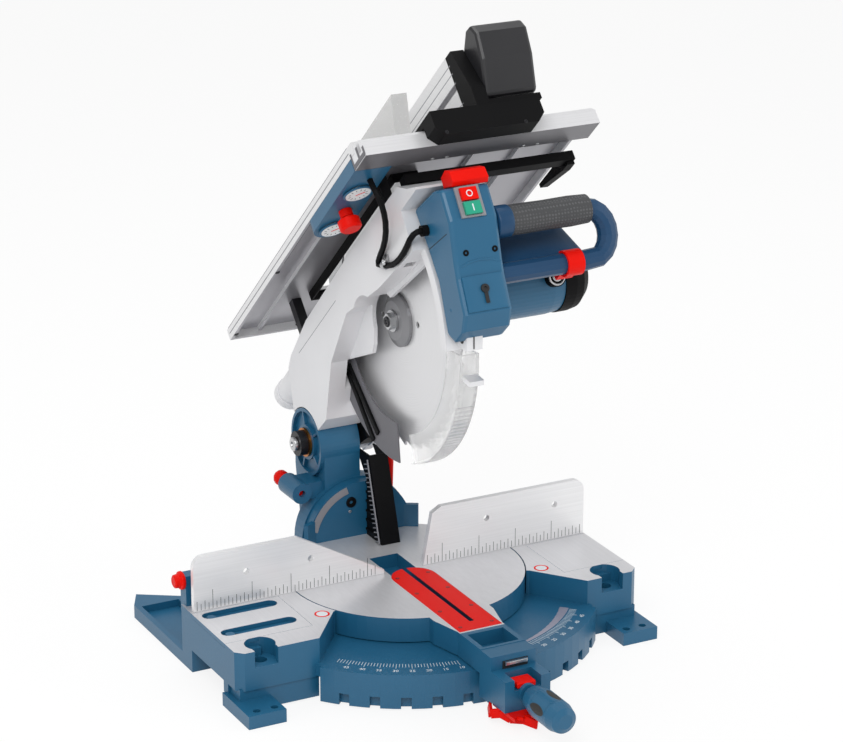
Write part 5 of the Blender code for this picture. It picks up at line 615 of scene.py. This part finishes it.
# %% One screw head
start_clean()
bpy.ops.mesh.primitive_cylinder_add(vertices=24, radius=1.0, depth=0.5, location=(0, 0, 0.25))
screw = bpy.context.object
bpy.ops.object.mode_set(mode="EDIT")
pick_faces(screw.data, lambda centre, normal: normal.z > 0.9)
bpy.ops.mesh.bevel(offset=0.16, segments=3, affect="EDGES")
pick_faces(screw.data, lambda centre, normal: normal.z > 0.99)
bpy.ops.mesh.inset(thickness=0.42)
bpy.ops.mesh.extrude_region_move(TRANSFORM_OT_translate={"value": (0, 0, -0.3)})
bpy.ops.transform.resize(value=(0.7, 0.7, 1.0))
bpy.ops.object.mode_set(mode="OBJECT")
bpy.ops.object.shade_smooth_by_angle(angle=radians(35))


def screws(name, spots, radius, material, body, frame_matrix=Matrix.Identity(4)):
    """Copies of the screw, each at a point and facing a direction, joined into one piece."""
    made = []
    for point, facing in spots:
        turn = Vector(facing).to_track_quat("Z", "Y").to_matrix().to_4x4()
        made.append(copy_of(screw, Matrix.Translation(point) @ turn @ Matrix.Scale(radius, 4)))
    return settle(gather(made), name, material, body, frame_matrix)


UP = (0, 0, 1)
FRONT = (0, -1, 0)
LEFT = (-1, 0, 0)
screws(
    "kerf_screws",
    [
        (Vector((sign * 0.0205, y, TABLE_TOP - 0.0006)), UP)
        for sign in (-1, 1)
        for y in (-0.178, -0.128, -0.070, -0.020)
    ],
    0.0026,
    black_oxide,
    "turntable",
    LEVEL,
)

# %% [markdown]
# Seams, beads, trims and straps are all bars of some width and height that lie along a surface. One block with
# its upper edges rounded is made once, and a copy of it is stretched from point to point.

# %% Bars that lie on a surface
start_clean()
bpy.ops.mesh.primitive_cube_add(size=1, location=(0, 0.5, 0.5))
block = bpy.context.object
bpy.ops.object.transform_apply(location=True, rotation=False, scale=False)
bpy.ops.object.mode_set(mode="EDIT")
pick_faces(block.data, lambda centre, normal: normal.z > 0.9)
bpy.ops.mesh.bevel(offset=0.22, segments=3, affect="EDGES")
bpy.ops.object.mode_set(mode="OBJECT")
print("block faces", len(block.data.polygons))


def bar(start, end, normal, width, height):
    """A copy of the block from start to end, standing on a surface with this normal."""
    along = Vector(end) - Vector(start)
    up = (Vector(normal) - Vector(normal).project(along)).normalized()
    across = along.normalized().cross(up)
    place = Matrix((across, along.normalized(), up)).transposed().to_4x4()
    twin = copy_of(block, Matrix.Translation(start) @ place)
    twin.data.transform(Matrix.Diagonal((width, along.length, height, 1)))
    return twin


def strip(name, points, normal, width, height, material, body, place=Matrix.Identity(4)):
    """Bars through a row of points, each a little longer than its span, joined into one piece."""
    lap = min(0.2 * width, 0.0006)
    made = []
    for a, b in zip(points, points[1:]):
        over = (b - a).normalized() * lap
        made.append(bar(a - over, b + over, normal, width, height))
    return settle(gather(made), name, material, body, place)


def mm(*values):
    """A point in metres from millimetres."""
    return Vector(values) / 1000


def loop(name, centre, facing, radius, wire, material, body, flat=1.0, place=Matrix.Identity(4)):
    """A ring on a surface, its section pressed flat."""
    start_clean()
    bpy.ops.mesh.primitive_torus_add(major_segments=40, minor_segments=10, major_radius=radius, minor_radius=wire)
    ring = bpy.context.object
    bpy.ops.object.mode_set(mode="EDIT")
    bpy.ops.mesh.select_all(action="SELECT")
    bpy.ops.transform.resize(value=(1, 1, flat))
    bpy.ops.object.mode_set(mode="OBJECT")
    bpy.ops.object.shade_smooth()
    ring.matrix_world = Matrix.Translation(centre) @ Vector(facing).to_track_quat("Z", "Y").to_matrix().to_4x4()
    return settle(ring, name, material, body, place)


def outermost(name, way):
    """The middle of a solid's outermost face in one direction."""
    way = Vector(way).normalized()
    points = [nodes[name].matrix_world @ v.co for v in nodes[name].data.vertices]
    far = max(p.dot(way) for p in points)
    face = [p for p in points if p.dot(way) > far - 0.0003]
    return sum(face, Vector()) / len(face)


# %% [markdown]
# The front housing is one moulding with a raised door over the brush gear. The door has a keyhole for the blade
# spanner, whose black eye and slot paint the shade in the hole, two dark screw wells stand above it, and a seam runs
# down the side. A black strip paints the shade in the guard stop's slit.

# %% Front housing
DOOR = Vector((0, -0.90, 0.44)).normalized()
UPPER = Vector((0, -0.96, 0.27)).normalized()
wells = [(mm(x, -142.8, 522.3), UPPER) for x in (3.4, 39.5)]
screws("housing_wells", wells, 0.0036, black_nylon, "head")
screws("housing_side_screw", [(mm(-11.6, -135.6, 455.9), LEFT)], 0.0020, blue_powder_coat, "head")
door = [bar(mm(18.3, -168.4, 461.6), mm(18.3, -150.9, 497.4), DOOR, 0.0500, 0.0022)]
settle(gather(door), "housing_door", blue_powder_coat, "head")
strip(
    "housing_shoulder",
    [mm(-6, -146.4, 508), mm(6, -145.4, 511.8), mm(20, -144.9, 513.4), mm(34, -145.3, 512), mm(45, -146.2, 508.6)],
    UPPER, 0.0022, 0.0011, blue_powder_coat, "head",
)
seam = [mm(-11.6, -84, 511.9), mm(-11.6, -126, 541.5)]
strip("housing_seam", seam, LEFT, 0.0009, 0.0003, print_and_shade_black, "head")
strip(
    "housing_edge", [mm(-8.6, -126.0, 560.0), mm(-8.6, -143.5, 515.0), mm(-8.6, -151.6, 492.0)],
    (-0.38, -0.89, 0.25), 0.0016, 0.0007, blue_powder_coat, "head",
)
# The keyhole's black eye and slot are painted shade inside the hole.
KEY = mm(18.0, -160.9, 485.0)
screws("keyhole_eye_shade", [(KEY, DOOR)], 0.0050, print_and_shade_black, "head")
strip("keyhole_slot_shade", [KEY, KEY + mm(0, -7.0, -14.3)], DOOR, 0.0045, 0.0008, print_and_shade_black, "head")
stop = bar(mm(10, -152, 411), mm(10, -131, 411), (0, 0, 1), 0.020, 0.020)
settle(stop, "guard_stop", silver_lacquer, "head")
screws("guard_stop_bolt", [(mm(0.2, -141, 421), LEFT)], 0.0040, black_oxide, "head")
# The slit's black strip is painted shade inside it.
slit = [mm(9, -152.2, 413), mm(9, -152.2, 430)]
strip("guard_stop_slit_shade", slit, FRONT, 0.0014, 0.0004, print_and_shade_black, "head")

# %% [markdown]
# The switch carries the two signs that every such switch has, a ring for off and a stroke for on.

# %% Switch signs
PRESS = Vector((0, -0.82, 0.58)).normalized()
off_face, on_face = outermost("button_off", PRESS), outermost("button_on", PRESS)
loop("sign_off", off_face, PRESS, 0.0034, 0.0006, white_print, "button_off", 0.5)
rise = PRESS.cross(Vector((1, 0, 0))).normalized()
tall = [on_face - rise * 0.0038, on_face + rise * 0.0038]
strip("sign_on", tall, PRESS, 0.0014, 0.0003, white_print, "button_on")

# %% [markdown]
# The handle's lower part is a broad flat plate with a thick collar where the grip enters the housing.

# %% Handle plate and collar
PLATE_UP = (0, -0.28, 0.96)
spine = [mm(48.6, -106, 502.0), mm(158, -106, 502.0)]
strip("handle_plate", spine, PLATE_UP, 0.0560, 0.0050, blue_nylon, "head")
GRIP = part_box("grip_sleeve")
grip_middle = (GRIP[0] + GRIP[1]) / 2
start_clean()
bpy.ops.mesh.primitive_cylinder_add(vertices=40, radius=0.0186, depth=0.0190)
collar = bpy.context.object
bpy.ops.object.mode_set(mode="EDIT")
pick_faces(collar.data, lambda centre, normal: abs(normal.z) > 0.9)
bpy.ops.mesh.bevel(offset=0.0022, segments=3, affect="EDGES")
bpy.ops.object.mode_set(mode="OBJECT")
bpy.ops.object.shade_smooth_by_angle(angle=radians(35))
collar.matrix_world = Matrix.Translation((0.0590, grip_middle.y, grip_middle.z)) @ Matrix.Rotation(pi / 2, 4, "Y")
settle(collar, "handle_collar", blue_nylon, "head")

# %% [markdown]
# The pale strip inside the right half of the mitre scale is painted glare on the blue paint, and it grows wider
# outwards. It is a row of thin bars that follow the scale's arc.

# %% Painted glare on the scale
STRIP_EDGE = 0.1985
arcs = []
for step in range(12):
    turns = [radians(14 + 3 * (step + k)) for k in (0, 1)]
    width = 0.003 + 0.0007 * step
    ends = [FLANGE_TOP + (STRIP_EDGE - width / 2) * Vector((sin(t), -cos(t), 0)) for t in turns]
    arcs.append(bar(*ends, UP, width, 0.0002))
settle(gather(arcs), "scale_glare_strip", scale_glare, "base")

# %% [markdown]
# The brush cap is screwed in behind a bright ring.

# %% Brush cap ring
BRUSH_WAY = Vector((0, -0.95, 0.31)).normalized()
brush = outermost("brush_cap", BRUSH_WAY)
loop("brush_ring", brush, BRUSH_WAY, 0.0096, 0.0012, zinc_plate, "head", 0.7)
screws("brush_screw", [(brush, BRUSH_WAY)], 0.0062, zinc_plate, "head")

# %% [markdown]
# The column shows a pale ring beside the bevel joint, which is a painted highlight on the housing's round corner, a
# black disc that paints the shade of a recess with a small screw below it, and the end of the pivot shaft. Its duct is
# stiffened by a ladder of thin rungs.

# %% Column details
BEVEL_AXIS = mm(18.3, 153.9, 75)
# A pale arc of bars paints the highlight on the round corner of the bevel housing.
HIGHLIGHT_RADIUS = 0.0640
marks = []
for step in range(12):
    a, b = (radians(106 + 5 * (step + k)) for k in (0, 1))
    ends = [BEVEL_AXIS + HIGHLIGHT_RADIUS * Vector((cos(t), 0, sin(t))) for t in (a - 0.01, b + 0.01)]
    marks.append(bar(*ends, FRONT, 0.0090, 0.0008))
settle(gather(marks), "bevel_highlight", bezel_grey_and_painted_light, "turntable")
# The black disc paints the shade inside the recess.
screws("column_recess_shade", [(mm(6, 154.0, 120.5), FRONT)], 0.0068, black_nylon, "turntable")
screws("column_screw", [(mm(4.5, 154.0, 108.5), FRONT)], 0.0020, zinc_plate, "turntable")
screws("pivot_bolt", [(mm(-43.2, 211, 185.5), LEFT)], 0.0088, zinc_plate, "head")
rungs = []
LEAN = Vector((0, 0.31, 0.95)).normalized()
for step in range(18):
    foot = mm(24.3, 113.5, 80) + LEAN * 0.0056 * step
    rungs.append(bar(foot, foot + mm(0, 10.5, -3.4), LEFT, 0.0013, 0.0012))
rungs.append(bar(mm(24.3, 112.6, 77), mm(24.3, 112.6, 77) + LEAN * 0.104, LEFT, 0.0018, 0.0014))
settle(gather(rungs), "duct_rungs", bezel_grey_and_painted_light, "column")

# %% [markdown]
# The arm is cast in two halves. A fine seam follows its back, black strips guide the blade cover, the blade bolt
# has a dark socket, and a bolt holds the cable's clip. Fine ripples line the rim of the clear guard.

# %% Arm details
seam = [mm(-26.6, 124.3, 392.9), mm(-26.6, 228.0, 295.0)]
strip("arm_seam", seam, LEFT, 0.0008, 0.0002, bezel_grey_and_painted_light, "head")
screws("arbor_socket", [(outermost("blade_bolt", LEFT), LEFT)], 0.0065, black_oxide, "spindle")
screws("clip_bolt", [(outermost("cable_clip", LEFT) + mm(0, -6, 6), LEFT)], 0.0036, zinc_plate, "head")
guides = [bar(mm(3.6, 150 + k, 300), mm(3.6, 72 + k, 238 - k), LEFT, 0.0075, 0.0030) for k in (0, 12)]
settle(gather(guides), "cover_guides", black_nylon, "head")
ripples = []
GUARD_CENTRE = Vector((TABLE_CENTRE.x, BLADE_CENTRE.y, BLADE_CENTRE.z))
for step in range(26):
    turn = radians(200 + 2.15 * step)
    way = Vector((0, cos(turn), sin(turn)))
    foot = GUARD_CENTRE + way * 0.1683
    ripples.append(bar(foot + mm(-10.5, 0, 0), foot + mm(11.5, 0, 0), way, 0.0022, 0.0009))
settle(gather(ripples), "guard_ripples", clear_polycarbonate, "lower_guard")

# %% [markdown]
# Under the upper table runs a slot whose shade is painted as a dark line, and small screws hold its flange; two grey
# lines on the flange's side are painted shadow lines. The rail's end shows its forked section, and a row of fine
# grooves runs along the rip fence.

# %% Upper table, rail and rip fence
def in_head(x, s, h):
    """A point of the level head's frame, given as x, forward s and up h in millimetres."""
    return HEAD @ (Vector((x, -s, h)) / 1000)


BELOW = HEAD.to_3x3() @ Vector((0, 0, -1))
front, middle, rear = (in_head(-84, s, 125.9) for s in (60, -75, -244))
# A dark strip paints the shade in the underside slot, black at the front and grey towards the rear.
strip("slot_shade_front", [front, middle], BELOW, 0.0022, 0.0004, print_and_shade_black, "table")
strip("slot_shade_rear", [middle, rear], BELOW, 0.0014, 0.0004, bezel_grey_and_painted_light, "table")
screws(
    "flange_screws",
    [(in_head(-94.5, -77, 116.1), BELOW), (in_head(-94.5, -246, 116.1), BELOW), (in_head(-11, -246, 116.1), BELOW)],
    0.0030, black_oxide, "table",
)
spots = [(in_head(x, 208, 100.1), BELOW) for x in (-3, 15, 113, 131)]
screws("rail_screws", spots, 0.0022, zinc_plate, "table")
fork = [
    bar(in_head(-98, 206.5, 120), in_head(-98, 206.5, 100.5), LEFT, 0.0030, 0.0006),
    bar(in_head(-98, 206.5, 103.5), in_head(-98, 241.0, 103.5), LEFT, 0.0052, 0.0006),
    bar(in_head(-98, 224.5, 102), in_head(-98, 224.5, 119), LEFT, 0.0042, 0.0006),
    bar(in_head(-98, 240.0, 102), in_head(-98, 240.0, 112), LEFT, 0.0042, 0.0006),
]
settle(gather(fork), "rail_fork", guard_grey, "table")
# Two grey lines along the flange's outer face are painted shadow lines between its strips.
edge = [
    bar(in_head(-98, -256, h), in_head(-98, 203, h), LEFT, width, 0.0002)
    for h, width in ((123, 0.0012), (130, 0.0006))
]
settle(gather(edge), "flange_shadow_lines", bezel_grey_and_painted_light, "table")
GROOVE_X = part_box("rip_fence")[0].x + 0.00005
grooves = []
for h in (141, 150, 176, 188, 198):
    ends = [Vector((GROOVE_X, *in_head(0, s, h).yz)) for s in (-240, 236)]
    grooves.append(bar(*ends, LEFT, 0.0011, 0.0001))
settle(gather(grooves), "fence_grooves", bezel_grey_and_painted_light, "rip_fence")
screws(
    "shoe_screws",
    [(mm(11.2, -83.0, 644.0), (0, -0.73, 0.68)), (mm(110.6, -83.2, 643.8), (0, -0.73, 0.68))],
    0.0022, black_oxide, "rip_fence",
)

# %% [markdown]
# Each height dial has a blue rim, twelve strokes and a red pointer.

# %% Height dials
for name in ("dial_near", "dial_far"):
    middle = outermost(name, BELOW)
    behind = middle - BELOW * 0.0012
    loop(name + "_rim", behind, BELOW, 0.0158, 0.0014, blue_powder_coat, "table", 0.9)
    right = Vector((1, 0, 0))
    back = BELOW.cross(right)
    ticks = []
    for step in range(12):
        way = right * cos(step * pi / 6) + back * sin(step * pi / 6)
        ticks.append(bar(middle + way * 0.0088, middle + way * 0.0118, BELOW, 0.0008, 0.0001))
    settle(gather(ticks), name + "_ticks", print_and_shade_black, "table")
    way = right * cos(0.6) + back * sin(0.6)
    ends = [middle - way * 0.003, middle + way * 0.008]
    strip(name + "_pointer", ends, BELOW, 0.0014, 0.0003, red_abs, "table")

# %% [markdown]
# On the lower table the label spots stay bare: two white discs with a red rim. Bolts sit in the slots of the left
# extension, and a bright bar closes the detent window over its red tab; a black strip paints the shade inside the
# window.

# %% Lower table details
for name, x in (("spot_left", -126.0), ("spot_right", 164.4)):
    middle = mm(x, -37.2, TABLE_TOP * 1000 + 0.05)
    loop(name + "_rim", middle, UP, 0.0078, 0.0012, red_abs, "base", 0.15)
    loop(name + "_fill", middle, UP, 0.0036, 0.0036, white_print, "base", 0.03)
screws("slot_bolts", [(mm(-225.5, 2.9, 70.3), UP), (mm(-236, -38.5, 70.3), UP)], 0.0052, black_oxide, "base")
# The window's black strip is painted shade in the opening.
window = [mm(5, -232.1, 61), mm(36, -232.1, 61)]
strip("detent_window_shade", window, FRONT, 0.0130, 0.0008, print_and_shade_black, "turntable")
across = [mm(7, -233.0, 65), mm(34, -233.0, 65)]
strip("detent_bar", across, FRONT, 0.0042, 0.0040, zinc_plate, "turntable")
wave = [mm(-7, -226, 14), mm(-15, -243, 12), mm(-8, -252, 15), mm(-1, -262, 11), mm(8, -276, 14), mm(17, -291, 12)]
strip("detent_skirt", wave, (-0.8, -0.6, 0), 0.0110, 0.0030, red_abs, "detent_lever")

# %% [markdown]
# The studio is plain: a pale floor that fades into white, a large soft lamp above left, a weaker one on the
# right, and an even white surround. The lamps stay low enough that painted colours look as they are written.

# %% Studio
start_clean()
bpy.ops.mesh.primitive_plane_add(size=12, location=(0, 0, -0.0002))
floor = bpy.context.object
floor.name = "floor"
white_floor, tree, output = new_material("white_floor")
paper = add(tree, "ShaderNodeBsdfDiffuse", {"Color": linear("#f6f6f6")})
glow = add(tree, "ShaderNodeEmission", {"Color": linear("#ffffff"), "Strength": 1.0})
ray = add(tree, "ShaderNodeLightPath")
seen = add(
    tree, "ShaderNodeMath", {0: ray.outputs["Is Camera Ray"], 1: ray.outputs["Is Glossy Ray"]}, operation="MAXIMUM"
)
seen = add(
    tree, "ShaderNodeMath", {0: seen.outputs[0], 1: ray.outputs["Is Transmission Ray"]}, operation="MAXIMUM"
)
share = add(tree, "ShaderNodeMath", {0: seen.outputs[0], 1: 0.86}, operation="MULTIPLY")
blend = add(tree, "ShaderNodeMixShader", {0: share.outputs[0], 1: paper.outputs["BSDF"], 2: glow.outputs["Emission"]})
tree.links.new(blend.outputs["Shader"], output.inputs["Surface"])
floor.data.materials.append(white_floor)

world = bpy.data.worlds.new("white_room")
bpy.context.scene.world = world
world.use_nodes = True
tree = world.node_tree
tree.nodes.clear()
output = tree.nodes.new("ShaderNodeOutputWorld")
soft = add(tree, "ShaderNodeBackground", {"Color": linear("#ffffff"), "Strength": 0.62})
bright = add(tree, "ShaderNodeBackground", {"Color": linear("#ffffff"), "Strength": 1.0})
ray = add(tree, "ShaderNodeLightPath")
seen = add(
    tree, "ShaderNodeMath", {0: ray.outputs["Is Camera Ray"], 1: ray.outputs["Is Transmission Ray"]}, operation="MAXIMUM"
)
blend = add(
    tree,
    "ShaderNodeMixShader",
    {0: seen.outputs[0], 1: soft.outputs["Background"], 2: bright.outputs["Background"]},
)
tree.links.new(blend.outputs["Shader"], output.inputs["Surface"])

for name, spot, size, power in (
    ("key", (-1.3, -1.6, 2.2), 1.4, 34),
    ("fill", (1.9, -1.0, 1.0), 1.6, 10),
    ("top", (0.2, 0.9, 2.4), 1.4, 16),
):
    bpy.ops.object.light_add(type="AREA", location=spot)
    lamp = bpy.context.object
    lamp.name = name
    lamp.data.size = size
    lamp.data.energy = power
    lamp.rotation_euler = (Vector(spot) - Vector((0, 0, 0.3))).to_track_quat("Z", "Y").to_euler()

bpy.context.scene.view_settings.view_transform = "Standard"

# %% Finish
for model in (stroke, screw, block):
    bpy.data.objects.remove(model)
